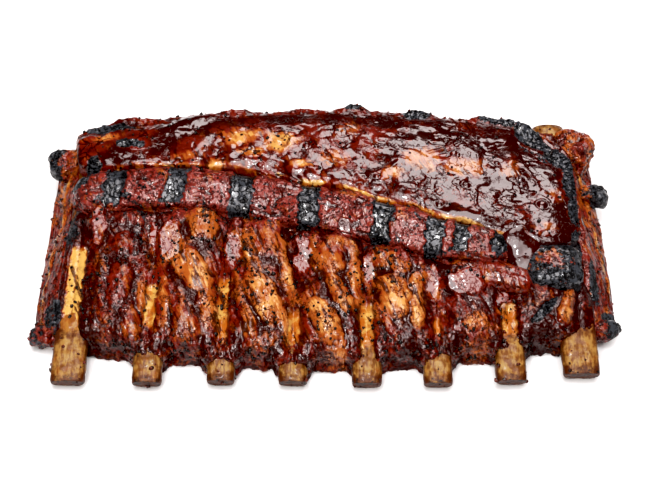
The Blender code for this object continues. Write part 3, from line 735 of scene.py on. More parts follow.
def makeMeatBase():
    look = meatBase
    out, up = squareArc(4000)
    x = 122 * out
    spread = np.concatenate([[0], np.cumsum(np.hypot(np.diff(x), np.diff(13 * up)))])
    weight = np.interp(x, (0, 104, 110, 122), (0.45, 0.45, 1.6, 1.6))
    cost = np.concatenate([[0], np.cumsum(np.diff(spread) * weight[1:])])
    side = np.interp(np.linspace(0, cost[-1], look["columns"] // 2), cost, x)
    x0 = np.concatenate([-side, side[::-1][1:]])[:, None]
    wall, height = squareArc(240)
    rim = wall[wall > 0.9]
    inside = np.linspace(0.9, -0.9, 150)
    over = np.concatenate([rim, inside, -rim[::-1]])[None]
    under = np.concatenate([-rim, -inside, rim[::-1]])[None]
    top, foot = slabAt(x0, over, True), slabAt(x0, under, False)
    covered = 1 - step(np.abs(x0), look["reach"] - 2.5, look["reach"] + 1.0)
    drop = covered * step(over, -1.0, -0.8) * (1 - step(over, 0.80, 0.92))
    top[..., 2] -= look["sunk"] * drop
    for grid, s in ((top, over), (foot, under)):
        grid[..., 1] += look["inset"] * covered * (1 - step(s, -1.0, -0.72))
    p = np.array([evenPath(np.vstack([a, b]), look["rows"] + 1)[:-1] for a, b in zip(top, foot)])
    x0 = x0 + 0 * p[..., 0]
    below = 1 - step(p[..., 2], 0.0, 5.0)
    flat = 1 - step(p[..., 2], 0.05, 1.2)
    flank = step(np.abs(x0), 110.5, 114)
    rear = step(p[..., 1] - backAt(x0), -6, -2)
    streaks = noise(turned(p, 0) * np.array((1 / 1.6, 1 / 14, 1 / 2.2)), 1.0, 61)
    relief = meatRelief(p, 0.1, 0.7, 62) * mix(0.6, 1.0, 1 - below) + 0.5 * (0.3 - np.abs(streaks)) * flank
    seam = bump(p[..., 2] - mix(9, 18, step(p[..., 1], -50, 50)) - 1.5 * fractal(p, 9, 2, 63), 1.0) * flank
    relief = relief + 0.6 * seam - 0.3 * flank
    film, wet = pour(relief, -0.1 + 0.4 * fractal(p, 12, 2, 64), 4, 0.3)
    edge = np.interp(np.abs(x0), (0, 121.6, 122), (1, 1, 0.35))
    total = np.minimum(film, 1.0) * (1 - flat) * edge
    warm = 0.25 + 0.45 * flank * (0.5 + fractal(p, 9, 3, 65)) + 0.5 * fractal(p, 8, 3, 66) + 0.5 * seam
    fat = np.clip(seam * 0.8 + 0.3 * flank * step(streaks, 0.25, 0.6), 0, 1) * 0.7
    # painted shade: the hollows of the relief
    hollowShade = np.clip((soften(relief, 4) - relief) * 0.9, 0, 1)
    shade = 0.25 + 0.4 * fractal(p, 9, 3, 67) + 0.4 * flat
    ahead = 1 - step(p[..., 1] - frontAt(x0), 4, 10)
    forward = flank * (1 - step(p[..., 1], -35, 25))
    warm = warm + 0.3 * ahead - 0.3 * forward
    shade = shade + 0.18 * forward
    char = burnAt(p) * 0.9 + 0.55 * step(fractal(p, 11, 3, 68), 0.25, 0.6) * (1 - flank) * (1 - 0.7 * ahead)
    dull = np.maximum(1 - step(p[..., 2], 3, 10), 0.55 * flank)
    marks = dict(tone=(warm, char, fat), wet=(wet, hollowShade, shade), film=(0 * warm, dull, 0.5 * flank))
    base = skin("meatBase", pushed(p, total), marks, meatMaterial)
    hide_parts("meat")
    return base


# ---- piece: the glazed loin ----
glazedLoin = dict(columns=450, rows=180, hidden=30, halfLength=108.0, bottom=17.0, roll=0.62, drop=2.5)
# places where the meat shows orange through the sauce: x, y, reach along x and y, strength
glows = ((-37, 43, 9, 6, 1.0), (-19.5, 40, 10, 7, 1.0), (-47, 28, 6, 3, 0.8), (-32, 34, 8, 4, 0.9), (-97, 46, 10, 4, 0.7),
         (-60, 33, 8, 3, 0.5), (4, 30, 8, 6, 0.5), (12, 48, 9, 5, 0.35), (42, 30, 14, 9, 0.65), (60, 26, 14, 8, 0.65),
         (28, 22, 9, 5, 0.6), (80, 26, 8, 7, 0.6), (-10, 27, 7, 3, 0.7), (92, -4, 6, 5, 0.5), (98, 14, 5, 6, 0.3))


# bubbles in the glaze: x, y, radius
blisters = ((92, 8.4, 2.2), (60, 16, 1.8), (41, 15, 1.8), (33, 45, 1.6), (74, 30, 1.3), (57, 33, 1.2), (84, 22, 1.5),
            (-8, 37, 1.5), (-28, 27, 1.4), (10, 28, 1.3), (48, 5, 1.4), (66, 44, 1.2), (22, 20, 1.3), (-52, 36, 1.2))


# where the back rim swells: x, reach, rise
rimKnobs = ((-88, 10, 1.3), (-38, 7, 1.4), (-10, 8, 1.4), (13, 8, 1.2), (44, 7, 1.3), (69, 5, 1.7), (84, 9, 1.8))


def makeGlazedLoin():
    look = glazedLoin
    out, up = squareArc(3000, 5.0)
    x = look["halfLength"] * out
    spread = np.concatenate([[0], np.cumsum(np.hypot(np.diff(x), np.diff(9 * up)))])
    side = np.interp(np.linspace(0, spread[-1], look["columns"] // 2), spread, x)
    x0 = np.concatenate([-side, side[::-1][1:]])[:, None]
    end = np.maximum(1 - np.abs(x0 / look["halfLength"]) ** 5, 0) ** 0.2
    low = lipAt(x0)
    high = backAtLoin(x0)
    wall, height = squareArc(200, 5.0)
    rim, inside = wall[wall > 0.85], np.linspace(0.85, -0.85, 170)
    over = np.concatenate([rim, inside, -rim[::-1]])[None]
    under = np.concatenate([-rim, -inside[::6], rim[::-1]])[None]
    grids = []
    for s, upper in ((over, True), (under, False)):
        y = (low + high) / 2 + (high - low) / 2 * end**0.6 * s
        share = (y - low) / (high - low)
        full = np.maximum(1 - np.abs(s) ** 5, 0) ** 0.2 * end
        crown = eased(x0, lip, 2) - look["drop"] * np.maximum(0, share - look["roll"]) / (1 - look["roll"])
        z = rack["bed"] + ((crown if upper else look["bottom"]) - rack["bed"]) * full
        grids.append(np.stack([x0 + 0 * y, y, z], -1))
    top = [evenPath(a, look["rows"]) for a in grids[0]]
    foot = [evenPath(a, look["hidden"] + 2)[1:-1] for a in grids[1]]
    p = np.array([np.vstack([a, b]) for a, b in zip(top, foot)])
    row = np.arange(p.shape[1])[None] + 0 * p[..., 0]
    live = 1 - step(row, look["rows"] - 4, look["rows"] + 6)
    q = p * np.array((0.8, 1.1, 1))
    wander = 3.0 * fractal(p, 14, 2, 80)
    along = through(((-92, 33, 0), (-74, 40, 0), (-56, 53, 0), (-34, 55, 0), (-10, 58, 0), (30, 52, 0)), np.linspace(0, 1, 60))
    band = np.full(p.shape[:-1], 99.0, np.float32)
    for bx, by, _ in along:
        band = np.minimum(band, np.hypot(p[..., 0] - bx, p[..., 1] - by + wander))
    calm = np.maximum(1 - step(band, 3.5, 7.5), 0.85 * step(p[..., 0] + wander * 3, 15, 45))
    patchy = step(fractal(p, 10, 3, 76), 0.05, 0.35)
    still = 1 - step(p[..., 0] + wander * 3, -15, 20)
    film = np.clip(np.maximum(calm, 0.75 + 0.2 * still) - 0.5 * patchy * calm, 0, 1)
    aside = p[..., 0] + 79 - 1.55 * (p[..., 1] - 37) + wander
    fold = -1.0 * np.tanh(aside / 5.0) * bump(aside, 24) * step(p[..., 1], 31, 37)
    swell = mix(2.2, 0.6, calm) * fractal(q, 24, 2, 81)
    plates = terraced(1.9 * fractal(q, 14, 3, 82, 0.45), 0.5, 0.12) * mix(0.8, 0.4, calm)
    quiet = 1 - 0.7 * still
    broad = swell + plates + fold + (1 - calm) * 1.0 * fractal(p, 8.5, 2, 79)
    rough = quiet * mix(1.0, 0.6, calm) * (0.5 * fractal(p, 4.5, 3, 83) + 0.5 * fractal(p, 6, 2, 85, sharp=True))
    twisted = p + np.stack([fractal(p, 5, 3, 93) * 2.5, fractal(p, 5, 3, 94) * 2.5, 0 * p[..., 0]], -1)
    wrinkle = bump(noise(twisted, 26, 95), 0.035) * step(fractal(p, 15, 2, 96), -0.25, 0.1)
    near, second = cells(twisted * np.array((1, 1, 0.01)), 4.5, 97)
    vein = bump(second - near, 0.10) * step(fractal(p, 12, 2, 98), -0.05, 0.25)
    rim = bump(p[..., 1] - lipAt(p[..., 0]) - 1.2 + fractal(p, 9, 2, 78), 0.9)
    char = burnAt(p)
    burnt = np.clip(char, 0, 1)
    relief = broad + rough + 0.5 * rim
    relief = relief + 0.8 * burnt * fractal(p, 2.2, 3, 86, sharp=True)
    rear = step(p[..., 1] - high, -7, -2)
    knobs = sum(rise * bump(p[..., 0] - kx, wide) for kx, wide, rise in rimKnobs)
    relief = relief + rear * (1.2 * fractal(p, 5, 3, 77, sharp=True) + burnt + 1.2 * knobs)
    patches = fractal(p, 13, 3, 87)
    left = 1 - step(p[..., 0], -30, 40)
    level = broad + 0.35 + 0.5 * patches - 0.75 * burnt + 0.35 * calm - 0.15 * left
    level = soften(level, 1) + 0.04 * fractal(p, 3.0, 2, 92)
    wet = step(level - relief, -0.05, 0.2)
    raised = np.zeros(p.shape[:-1], np.float32)
    for bx, by, size in blisters:
        away = np.hypot(p[..., 0] - bx, p[..., 1] - by) / size
        raised += 0.75 * size * (np.maximum(1 - away**2, 0) ** 0.6 - 0.5 * bump(away - 1.12, 0.22))
    line = (0.45 * wrinkle - 0.30 * vein) * quiet
    total = (softMax(relief, level, 0.10) + line + 0.45 * raised - 0.9) * live
    glow = np.zeros(p.shape[:-1], np.float32)
    for gx, gy, wide, deep, strength in glows:
        away = np.hypot((p[..., 0] - gx) / wide, (p[..., 1] - gy) / deep) + 0.5 * fractal(p, 5, 3, 88)
        glow = np.maximum(glow, strength * (1 - step(away, 0.3, 1.1)))
    thick = np.clip(level - relief, 0, 1.2)
    warm = 0.15 + 0.95 * glow + 0.5 * rim * step(fractal(p, 8, 2, 89), -0.3, 0.3) + 0.3 * fractal(p, 4, 3, 90)
    shade = 0.45 + 0.55 * thick - 0.75 * glow + 0.45 * fractal(p, 12, 3, 91) - 0.3 * rim
    # painted shade in the hollows of the relief and along the veins, with dark lines along the wrinkles
    hollowShade = np.clip((soften(total, 5) - total) * 0.8 + 0.7 * vein + 0.5 * wrinkle, 0, 1)
    amber = 0.45 * glow + 0.9 * rim * step(fractal(p, 9, 2, 99) + 0.5 * step(p[..., 0], -40, 10), 0.05, 0.35)
    marks = dict(tone=(warm, char, amber), wet=(wet, hollowShade, shade), film=(film, step(np.abs(p[..., 0]), 104, 107), 0 * film))
    return skin("glazedLoin", pushed(p, total), marks, meatMaterial)


def backAtLoin(x):
    bow = np.where(x > 0, 11.0, 5.0)
    return rack["backEdge"] - 1 - bow * np.abs(x / glazedLoin["halfLength"]) ** 2.2


# ---- rolls, folds and lumps ----
def rollForm(stations, rings, sides, end=9.0, power=2.0, tilt=0.0):  # tilt: where the section's flat sides face
    dense = through(stations, np.linspace(0, 1, 2000))
    path = np.stack([np.interp(np.linspace(0, 1, rings), np.linspace(0, 1, 2000), dense[:, k]) for k in range(5)], -1)
    spine = path[:, :3]
    reach = np.concatenate([[0], np.cumsum(np.linalg.norm(np.diff(spine, axis=0), axis=1))])
    ahead = np.gradient(spine, axis=0)
    across = np.cross(ahead, (0, 0, 1.0))
    across /= np.linalg.norm(across, axis=1, keepdims=True)
    up = np.cross(across, ahead)
    up /= np.linalg.norm(up, axis=1, keepdims=True)
    edge = np.minimum(np.minimum(reach, reach[-1] - reach), end) / end
    swell = np.maximum(np.sqrt(np.maximum(1 - (1 - edge) ** 2, 0)), 0.06)
    turn = np.linspace(0, 2 * math.pi, sides, endpoint=False)
    c, s = np.abs(np.cos(turn - math.radians(tilt))), np.abs(np.sin(turn - math.radians(tilt)))
    square = (c**power + s**power) ** (-1 / power)
    wide, high = path[:, 3] * swell, path[:, 4] * swell
    return (spine[:, None] + across[:, None] * (wide[:, None, None] * (square * np.cos(turn))[None, :, None])
            + up[:, None] * (high[:, None, None] * (square * np.sin(turn))[None, :, None]))


grilledRoll = dict(rings=450, sides=104, markHalf=3.7)
# each grill mark: x, y at its top and x, y at its foot, half width
grillMarks = ((-88, 29.6, -91, 12.5, 4.4), (-61.5, 29, -64.5, 12.5, 4.2), (-34, 25.7, -37, 3, 4.4), (-5.5, 19, -7, 0.4, 4.0),
              (25.7, 10, 23, -9.8, 3.6), (48, 1.6, 44.6, -14.4, 3.2), (58.7, 0.8, 56, -13.3, 3.0), (75, -5.5, 72, -14.4, 3.4))


def markAt(p):
    q = p + np.stack([fractal(p, 4.5, 3, 101) * 2.6, fractal(p, 4.5, 3, 102) * 2.6, 0 * p[..., 0]], -1)
    total = np.zeros(p.shape[:-1], np.float32)
    for topX, topY, footX, footY, wide in grillMarks:
        place = (q[..., 1] - footY) / (topY - footY)
        away = np.abs(q[..., 0] - mix(footX, topX, place))
        inside = step(place, -0.25, -0.05) * (1 - step(place, 0.95, 1.2))
        total = np.maximum(total, (1 - step(away, wide - 1.6, wide + 2.2)) * inside)
    return total


def makeGrilledRoll():
    look = grilledRoll
    p = rollForm(rollLine[:9], look["rings"], look["sides"], power=3.4, tilt=58.0)
    spread = 0.75 + 0.55 * fractal(p * np.array((1, 0.2, 0.2)), 13, 2, 125)
    p[..., 1] -= spread * np.maximum(0, p[..., 2].mean(1, keepdims=True) - p[..., 2])
    lean = np.array((1 / 15, 1 / 3, 1 / 3))
    strand = noise(turned(p, -12) * lean, 1.0, 111)
    q = p * np.array((0.6, 1, 1))
    relief = 1.5 * fractal(q, 16, 2, 112) + 0.2 * fractal(p, 4, 3, 113) + 0.2 * (0.3 - np.abs(strand))
    relief = relief + terraced(1.7 * fractal(q, 6.5, 3, 122), 0.75, 0.10)
    relief = relief - 0.8 * bump(noise(p * np.array((1 / 18, 1 / 8, 1 / 8)), 1.0, 114), 0.05)
    relief = relief + 0.1 * fractal(p, 1.5, 2, 115)
    mark = markAt(p)
    crackle = fractal(p, 2.0, 3, 116, sharp=True)
    sunk = 0.15 * soften(relief, 10) - 0.9 + 0.05 * crackle + terraced(0.7 * fractal(p, 4.5, 3, 121), 0.35, 0.10)
    relief = mix(relief, sunk, step(mark, 0.3, 0.7))
    burnt = np.maximum(mark, np.clip(burnAt(p), 0, 1.2))
    under = 1 - step(p[..., 2], 18.5, 25)
    relief = relief + under * (3.0 * fractal(p, 9, 3, 123) + 1.4 * fractal(p, 3.5, 3, 124, sharp=True))
    film, wet = pour(relief, -0.22 + 0.5 * fractal(p, 9, 3, 117), 5, 0.2)
    warm = 0.15 + 0.6 * fractal(p, 8, 3, 118) + 0.25 * np.clip(relief, -1, 1)
    # painted shade: the roll's lower side is darker, and the hollows darker outside the grill marks
    shade = 0.30 + 0.35 * under + 0.5 * fractal(p, 7, 3, 119)
    hollowShade = np.clip((soften(relief, 4) - relief) * 0.9, 0, 1) * (1 - 0.5 * mark)
    marks = dict(tone=(warm, burnt + 0.5 * step(fractal(p, 4.5, 3, 120), 0.05, 0.4), 0 * warm),
                 wet=(wet, hollowShade, shade), film=(0.95 * mark, 0.4 * under, 0.85 * (1 - mark)))
    return skin("grilledRoll", pushed(p, film), marks, meatMaterial)


# smaller folds that lie on the rack: name, stations of x, y, z, half width, half height, end, warmth, shade, char
folds = (
    ("lowerFold", ((50, -18.5, 21, 5.5, 5), (66, -21.5, 21.5, 6.5, 6), (80, -25, 21.5, 6.5, 6), (88, -27, 20.5, 5.5, 5)),
     6, 0.22, 0.40, 0.2),
    ("darkLobe", ((48, -19, 17, 4, 3.5), (57, -24, 18.5, 5.6, 4.6), (66, -29, 18, 5.6, 4.6), (74, -34, 15.5, 3.6, 3.2)),
     5, 0.05, 0.75, 0.3),
    ("sideRidge", ((-79, 9, 22.5, 3, 3), (-80, -2, 22.8, 4.2, 4), (-81, -14, 20.4, 4.4, 4), (-81.5, -28, 16.5, 3.4, 3.2)),
     5, 0.05, 0.75, 0.4),
    ("ribbonLeft", ((-33, 5.5, 23, 2.5, 2.5), (-24, 3.5, 23.5, 3.2, 3), (-15, 1.5, 23, 3.2, 3), (-8, 0, 21.5, 2.2, 2.2)),
     5, 0.75, 0.0, -0.1),
    ("ribbonMiddle", ((-3, -2, 22.5, 2.5, 2.5), (6, -4.5, 23, 3.2, 3), (14, -7, 22.8, 3.2, 3), (21, -9.5, 21, 2.2, 2.2)),
     5, 0.65, 0.05, 0.0),
    ("glazeRun", ((78, -1, 29, 8, 4.5), (82, -9, 27.6, 8, 4.5), (84, -17, 25, 7.5, 4), (85, -25, 21.5, 6, 3)),
     7, 0.05, 0.8, -0.4),
)


def makeFold(name, stations, end, warmth, dark, burnt, seed):
    smooth = 1.0 if name == "glazeRun" else 0.0
    p = rollForm(stations, 150, 96, end, 2 + 0.5 * smooth, 90.0)
    relief = meatRelief(p, 0.4, 0.9, seed)
    relief = mix(relief, 1.6 * fractal(p, 8, 3, seed + 5), smooth)
    film, wet = pour(relief, 0.15 + 0.4 * fractal(p, 9, 2, seed + 1), 5, 0.25)
    warm = warmth + 0.4 * fractal(p, 7, 3, seed + 2)
    char = burnt + 0.9 * step(fractal(p, 5, 3, seed + 3), 0.3, 0.6) + burnAt(p)
    # painted shade: the hollows of the relief
    hollowShade = np.clip((soften(relief, 4) - relief) * 0.9, 0, 1)
    marks = dict(tone=(warm, char, 0 * warm), wet=(wet, hollowShade, dark + 0.3 * fractal(p, 6, 3, seed + 4)),
                 film=(smooth + 0 * warm, 0 * warm, 0 * warm))
    return skin(name, pushed(p, film * 0.8), marks, meatMaterial)


# lumps: name, centre, half sizes, turn, power, relief, warmth, char, share of flat plates, rings
lumpSpecs = (
    ("charBlock", (95, -20, 20.5), (11.5, 11, 9.5), 0, 4.0, 0.7, 0.45, 0.8, 1.0, 190),
    ("leftKnob", (-114.6, 45, 17.0), (7.4, 5.8, 4.6), 12, 5.0, 0.9, 0.5, 0.8, 0.0, 110),
    ("leftShoulder", (-105, 53.5, 20), (6, 5.6, 6), 0, 2.6, 0.8, 0.35, 0.4, 0.0, 90),
    ("leftCorner", (-114.5, -41, 7.2), (8.2, 5.2, 4.8), 12, 2.4, 1.7, 0.2, 0.5, 0.0, 120),
    ("rightLump", (116.8, 27, 16.6), (5.6, 4.4, 4.0), 0, 4.5, 1.1, 0.45, 1.1, 0.0, 100),
    ("rightShoulder", (109.5, 49.5, 20), (9, 9.6, 6.2), -20, 3.0, 1.2, 0.5, 0.35, 0.0, 130),
    ("rightCorner", (114.4, -40, 7.6), (9.6, 4.6, 4.0), 14, 1.35, 1.7, 0.2, 0.9, 0.0, 120),
)


def makeLump(name, centre, half, turn, power, rugged, warmth, burnt, plated, rings, seed):
    tall = np.linspace(0.004, math.pi - 0.004, rings)[:, None]
    round_ = np.linspace(0, 2 * math.pi, rings, endpoint=False)[None]
    ball = np.stack(np.broadcast_arrays(np.cos(tall), np.sin(tall) * np.cos(round_), np.sin(tall) * np.sin(round_)), -1)
    ball = ball / (np.abs(ball) ** power).sum(-1, keepdims=True) ** (1 / power)
    p = turned(ball * np.array(half), -turn) + np.array(centre)
    relief = rugged * (3.6 * fractal(p, 9, 3, seed, 0.65) + 1.5 * fractal(p, 3.6, 3, seed + 1, sharp=True) - 0.4)
    relief = mix(relief, 0.8 * fractal(p, 12, 2, seed + 7) + terraced(1.5 * fractal(p, 6, 3, seed + 8), 0.6, 0.12), plated)
    film, wet = pour(relief, 0.1 + 0.4 * fractal(p, 7, 2, seed + 2), 3, 0.25)
    outer = step(np.abs(p[..., 0]), 114, 119) if abs(centre[0]) > 100 else 1.0
    char = burnt * mix(0.3, 1.0, outer) + 0.5 * fractal(p, 6, 3, seed + 3)
    char = char - 0.55 * plated * bump(np.hypot(p[..., 0] - centre[0] + 1, p[..., 1] - centre[1] - 1), 6)
    warm = warmth + 0.5 * fractal(p, 5, 3, seed + 4)
    # painted shade: the hollows of the relief
    hollowShade = np.clip((soften(relief, 3) - relief) * 0.9, 0, 1)
    marks = dict(tone=(warm, char, 0 * warm),
                 wet=(wet * 0.8, hollowShade, 0.2 + 0.3 * fractal(p, 5, 3, seed + 6)),
                 film=(0 * warm, 0 * warm, mix(0.25, 0.8, outer) - 0.3 * plated + 0 * warm))
    return skin(name, pushed(p, np.clip(film, -3.2, 1.4)), marks, meatMaterial)


# ---- pieces: the eight bones ----
ribBone = dict(sides=72, tipRings=90, stripRings=150, farRings=30, power=2.9, roundPower=2.2)


def makeBone(index):
    look = ribBone
    name = boneNames[index]
    tipXHere, tipY, half = tips[index]
    farY = boneEnds[index]
    front, back, width = strips[index]
    shown = np.concatenate([np.linspace(tipY, tipY + 16, look["tipRings"]),
                            np.linspace(tipY + 16, max(back, -20) + 4, look["stripRings"])[1:],
                            np.linspace(max(back, -20) + 4, farY, look["farRings"])[1:]])
    rings = []
    turn = np.linspace(0, 2 * math.pi, look["sides"], endpoint=False)
    c, s = np.cos(turn), np.sin(turn)
    for y in shown:
        power = mix(look["power"], look["roundPower"], step(y - frontAt(tipXHere), -2, 8))
        flat = (np.abs(c) ** power + np.abs(s) ** power) ** (-1 / power)
        away = y - tipY
        slope = rack["boneRise"] / rack["boneCurve"] * math.exp(-away / rack["boneCurve"])
        x = tipXHere * (1 + (rack["narrowing"] - 1) * away / (farY - tipY))
        z = rack["boneTipHeight"] + rack["boneRise"] * (1 - math.exp(-away / rack["boneCurve"]))
        worn = min(1.0, 0.93 + 0.07 * math.sqrt(max(1 - (1 - min(away, farY - y, 2.0) / 2.0) ** 2, 0)))
        up = np.array((0, -slope, 1)) / math.hypot(slope, 1)
        ring = np.array((x, y, z)) + np.outer(half * 0.97 * worn * c * flat, (1, 0, 0)) + np.outer(3.95 * worn * s * flat, up)
        rings.append(ring)
    p = np.array(rings)
    # the sawn end: smaller and smaller outlines on the same plane
    centre = p[0].mean(0)
    shares = np.linspace(0.03, 0.985, 22)[:, None, None]
    sawn = centre + (p[0] - centre) * shares
    sawn[..., 1] += 0.25 * fractal(sawn, 2.0, 2, 141)
    p = np.concatenate([sawn, p])
    distance = p[..., 1] - tipY
    grain = noise(p * np.array((1 / 0.9, 1 / 9, 1 / 1.2)), 1.0, 142 + index)
    inMeat = step(p[..., 1] - frontAt(p[..., 0]), -1, 4)
    relief = 0.22 * grain + mix(0.35, 0.8, inMeat) * fractal(p, 4, 3, 152 + index)
    face = np.arange(p.shape[0])[:, None] < 22
    fade = np.where(face, 0.0, np.clip(distance / 1.2, 0.0, 1.0)) * (1 - step(distance, 100, 118))
    p = pushed(p, relief, fade + 0 * relief)
    top = (p[..., 2] > p[..., 2].mean(1, keepdims=True)) * 1.0
    reach = fractal(p, 4, 3, 162 + index) * 2.5
    edge = bump(p[..., 1] - frontAt(p[..., 0]) - reach, 3.0)
    aside = np.abs(p[..., 0] - p[..., 0].mean(1, keepdims=True)) / half
    brown = 0.7 * (1 - step(distance + reach, 0.5, 3.6)) + 0.4 * (1 - top) + np.where(face, 1.0, 0.0)
    brown = brown + 0.7 * step(aside, 0.55, 0.95) - 0.05
    brown = brown + 0.35 * fractal(p, 5, 3, 166 + index) + 0.65 * edge + 0.25 * inMeat * np.abs(fractal(p, 6, 3, 168))
    amber = inMeat * (1 - step(p[..., 1], 25, 35)) * (0.25 if index == 0 else 0.85) + 0.2 * step(fractal(p, 4, 2, 172 + index), 0.1, 0.5)
    burnt = 0.2 * step(fractal(p, 3, 3, 182 + index), 0.1, 0.5) + np.where(face, 0.1, 0.0)
    burnt = burnt + 0.35 * (1 - step(distance + 0.6 * reach, 0, 1.8)) + 0.15 * edge
    marks = dict(tone=(np.clip(brown, 0, 1), np.clip(amber, 0, 1), burnt))
    bone = skin("bone" + str(index + 1), p, marks, boneMaterial)
    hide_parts(name)
    return bone


makeMeatBase()
makeRibFace()
makeGlazedLoin()
makeGrilledRoll()
for index, fold in enumerate(folds):
    makeFold(*fold, 200 + 20 * index)
for index, spec in enumerate(lumpSpecs):
    makeLump(*spec, 300 + 20 * index)
for index in range(len(boneNames)):
    makeBone(index)


# ---- what lies scattered on the rack: one piece per kind, set out by geometry nodes ----
def chip(name, size, rough, seed, flat=1.0):  # a small lump with a broken outline, about 1 mm at size 1
    mesh = bpy.data.meshes.new(name)
    bm = bmesh.new()
    bmesh.ops.create_icosphere(bm, subdivisions=2 if size > 1.2 else 1, radius=0.5 * size)
    points = np.array([v.co for v in bm.verts])
    away = 1 + rough * fractal(points, 0.45 * size, 2, seed)[:, None]
    for v, co in zip(bm.verts, points * away * np.array((1, 0.8, flat))):
        v.co = co * mm
    bm.to_mesh(mesh)
    bm.free()
    mesh.shade_smooth()
    return bpy.data.objects.new(name, mesh)


def scatterTree(name):
    tree = bpy.data.node_groups.new(name, "GeometryNodeTree")
    face = tree.interface
    face.new_socket("Geometry", in_out="INPUT", socket_type="NodeSocketGeometry")
    for label, kind in (("Chips", "NodeSocketCollection"), ("Material", "NodeSocketMaterial"),
                        ("Density", "NodeSocketFloat"), ("Gap", "NodeSocketFloat"), ("Sink", "NodeSocketFloat"),
                        ("Smallest", "NodeSocketFloat"), ("Largest", "NodeSocketFloat"), ("Seed", "NodeSocketInt")):
        face.new_socket(label, in_out="INPUT", socket_type=kind)
    face.new_socket("Geometry", in_out="OUTPUT", socket_type="NodeSocketGeometry")
    given = tree.nodes.new("NodeGroupInput").outputs
    where = add(tree, "GeometryNodeInputNamedAttribute", {"Name": "grow"}, data_type="FLOAT")
    spread = add(tree, "GeometryNodeDistributePointsOnFaces",
                 {"Mesh": given["Geometry"], "Distance Min": given["Gap"], "Density Max": given["Density"],
                  "Density Factor": where.outputs["Attribute"], "Seed": given["Seed"]}, distribute_method="POISSON")
    chips = add(tree, "GeometryNodeCollectionInfo",
                {"Collection": given["Chips"], "Separate Children": True, "Reset Children": True})
    spin = add(tree, "FunctionNodeRandomValue", {"Min": (0, 0, 0), "Max": (6.3, 6.3, 6.3), "Seed": given["Seed"]},
               data_type="FLOAT_VECTOR")
    luck = add(tree, "FunctionNodeRandomValue", {"Seed": given["Seed"]}, data_type="FLOAT")
    span = math2(tree, "SUBTRACT", given["Largest"], given["Smallest"])
    size = math2(tree, "MULTIPLY_ADD", math2(tree, "POWER", luck.outputs[1], 2.5), span, given["Smallest"])
    placed = add(tree, "GeometryNodeInstanceOnPoints",
                 {"Points": spread.outputs["Points"], "Instance": chips.outputs[0], "Pick Instance": True,
                  "Rotation": spin.outputs[0], "Scale": size})
    kept = add(tree, "GeometryNodeStoreNamedAttribute",
               {"Geometry": spread.outputs["Points"], "Name": "out", "Value": spread.outputs["Normal"]},
               data_type="FLOAT_VECTOR", domain="POINT")
    tree.links.new(kept.outputs[0], placed.inputs["Points"])
    out = add(tree, "GeometryNodeInputNamedAttribute", {"Name": "out"}, data_type="FLOAT_VECTOR")
    shift = add(tree, "ShaderNodeVectorMath", {0: out.outputs["Attribute"]}, operation="SCALE")
    tree.links.new(given["Sink"], shift.inputs["Scale"])
    moved = add(tree, "GeometryNodeTranslateInstances",
                {"Instances": placed.outputs[0], "Translation": shift.outputs[0], "Local Space": False})
    real = add(tree, "GeometryNodeRealizeInstances", {"Geometry": moved.outputs[0]})
    done = add(tree, "GeometryNodeSetMaterial", {"Geometry": real.outputs[0], "Material": given["Material"]})
    end = tree.nodes.new("NodeGroupOutput")
    tree.links.new(done.outputs[0], end.inputs[0])
    return tree


def scatter(name, ground, chips, material, tree, slot="glazed_meat", **settings):
    # ground: a mesh whose "grow" attribute says where the chips lie
    box = bpy.data.collections.new(name + "Chips")
    for thing in chips:
        box.objects.link(thing)
    step_ = ground.modifiers.new("scatter", "NODES")
    step_.node_group = tree
    sockets = {item.name: item.identifier for item in tree.interface.items_tree if item.in_out == "INPUT"}
    for label, value in dict(settings, Chips=box, Material=material).items():
        step_[sockets[label]] = value
    graph = bpy.context.evaluated_depsgraph_get()
    mesh = bpy.data.meshes.new_from_object(ground.evaluated_get(graph), preserve_all_data_layers=True,
                                           depsgraph=graph)
    bpy.data.objects.remove(ground)
    piece = bpy.data.objects.new(name, mesh)
    bpy.context.scene.collection.objects.link(piece)
    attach(piece, body)
    print("made", name, sum(len(f.vertices) - 2 for f in mesh.polygons), "triangles")
    return piece


def groundFrom(pieces, growth):  # one mesh joined from pieces, with the growth worked out at its points
    joined = bpy.data.meshes.new("ground")
    bm = bmesh.new()
    for piece in pieces:
        bm.from_mesh(piece.data)
    bm.to_mesh(joined)
    bm.free()
    co = np.empty(len(joined.vertices) * 3, np.float32)
    joined.vertices.foreach_get("co", co)
    grow = joined.attributes.new("grow", "FLOAT", "POINT")
    grow.data.foreach_set("value", np.clip(growth(co.reshape(-1, 3) / mm), 0, 1).astype(np.float32).ravel())
    ground = bpy.data.objects.new("ground", joined)
    bpy.context.scene.collection.objects.link(ground)
    return ground


def pepperGrowth(p):  # thick on the ribs, thin on the loin, none underneath
    patch = step(fractal(p, 16, 3, 401), -0.25, 0.35)
    ribs = 1 - step(p[..., 1] - lipAt(p[..., 0]), -24, -10)
    shown = step(p[..., 2], 3, 6) * (1 - step(p[..., 1] - backAt(p[..., 0]), -4, 0))
    return shown * patch * mix(0.22, 1.0, ribs) * 0.8 * (1 - 0.8 * step(np.abs(p[..., 0]), 105, 110))


def crumbGrowth(p):  # along the front edge, the cut ends and the back rim
    front = 1 - step(p[..., 1] - frontAt(p[..., 0]), 0, 7)
    sides = step(np.abs(p[..., 0]), 106, 112)
    rear = step(p[..., 1] - backAt(p[..., 0]), -9, -3)
    patch = step(fractal(p, 9, 3, 402), -0.2, 0.3)
    rims = 1 - step(p[..., 1], -64.5, -62)
    return step(p[..., 2], 1.0, 4) * patch * np.maximum.reduce([0.45 * front, 0.35 * sides, 0.8 * rear, 0.6 * rims])


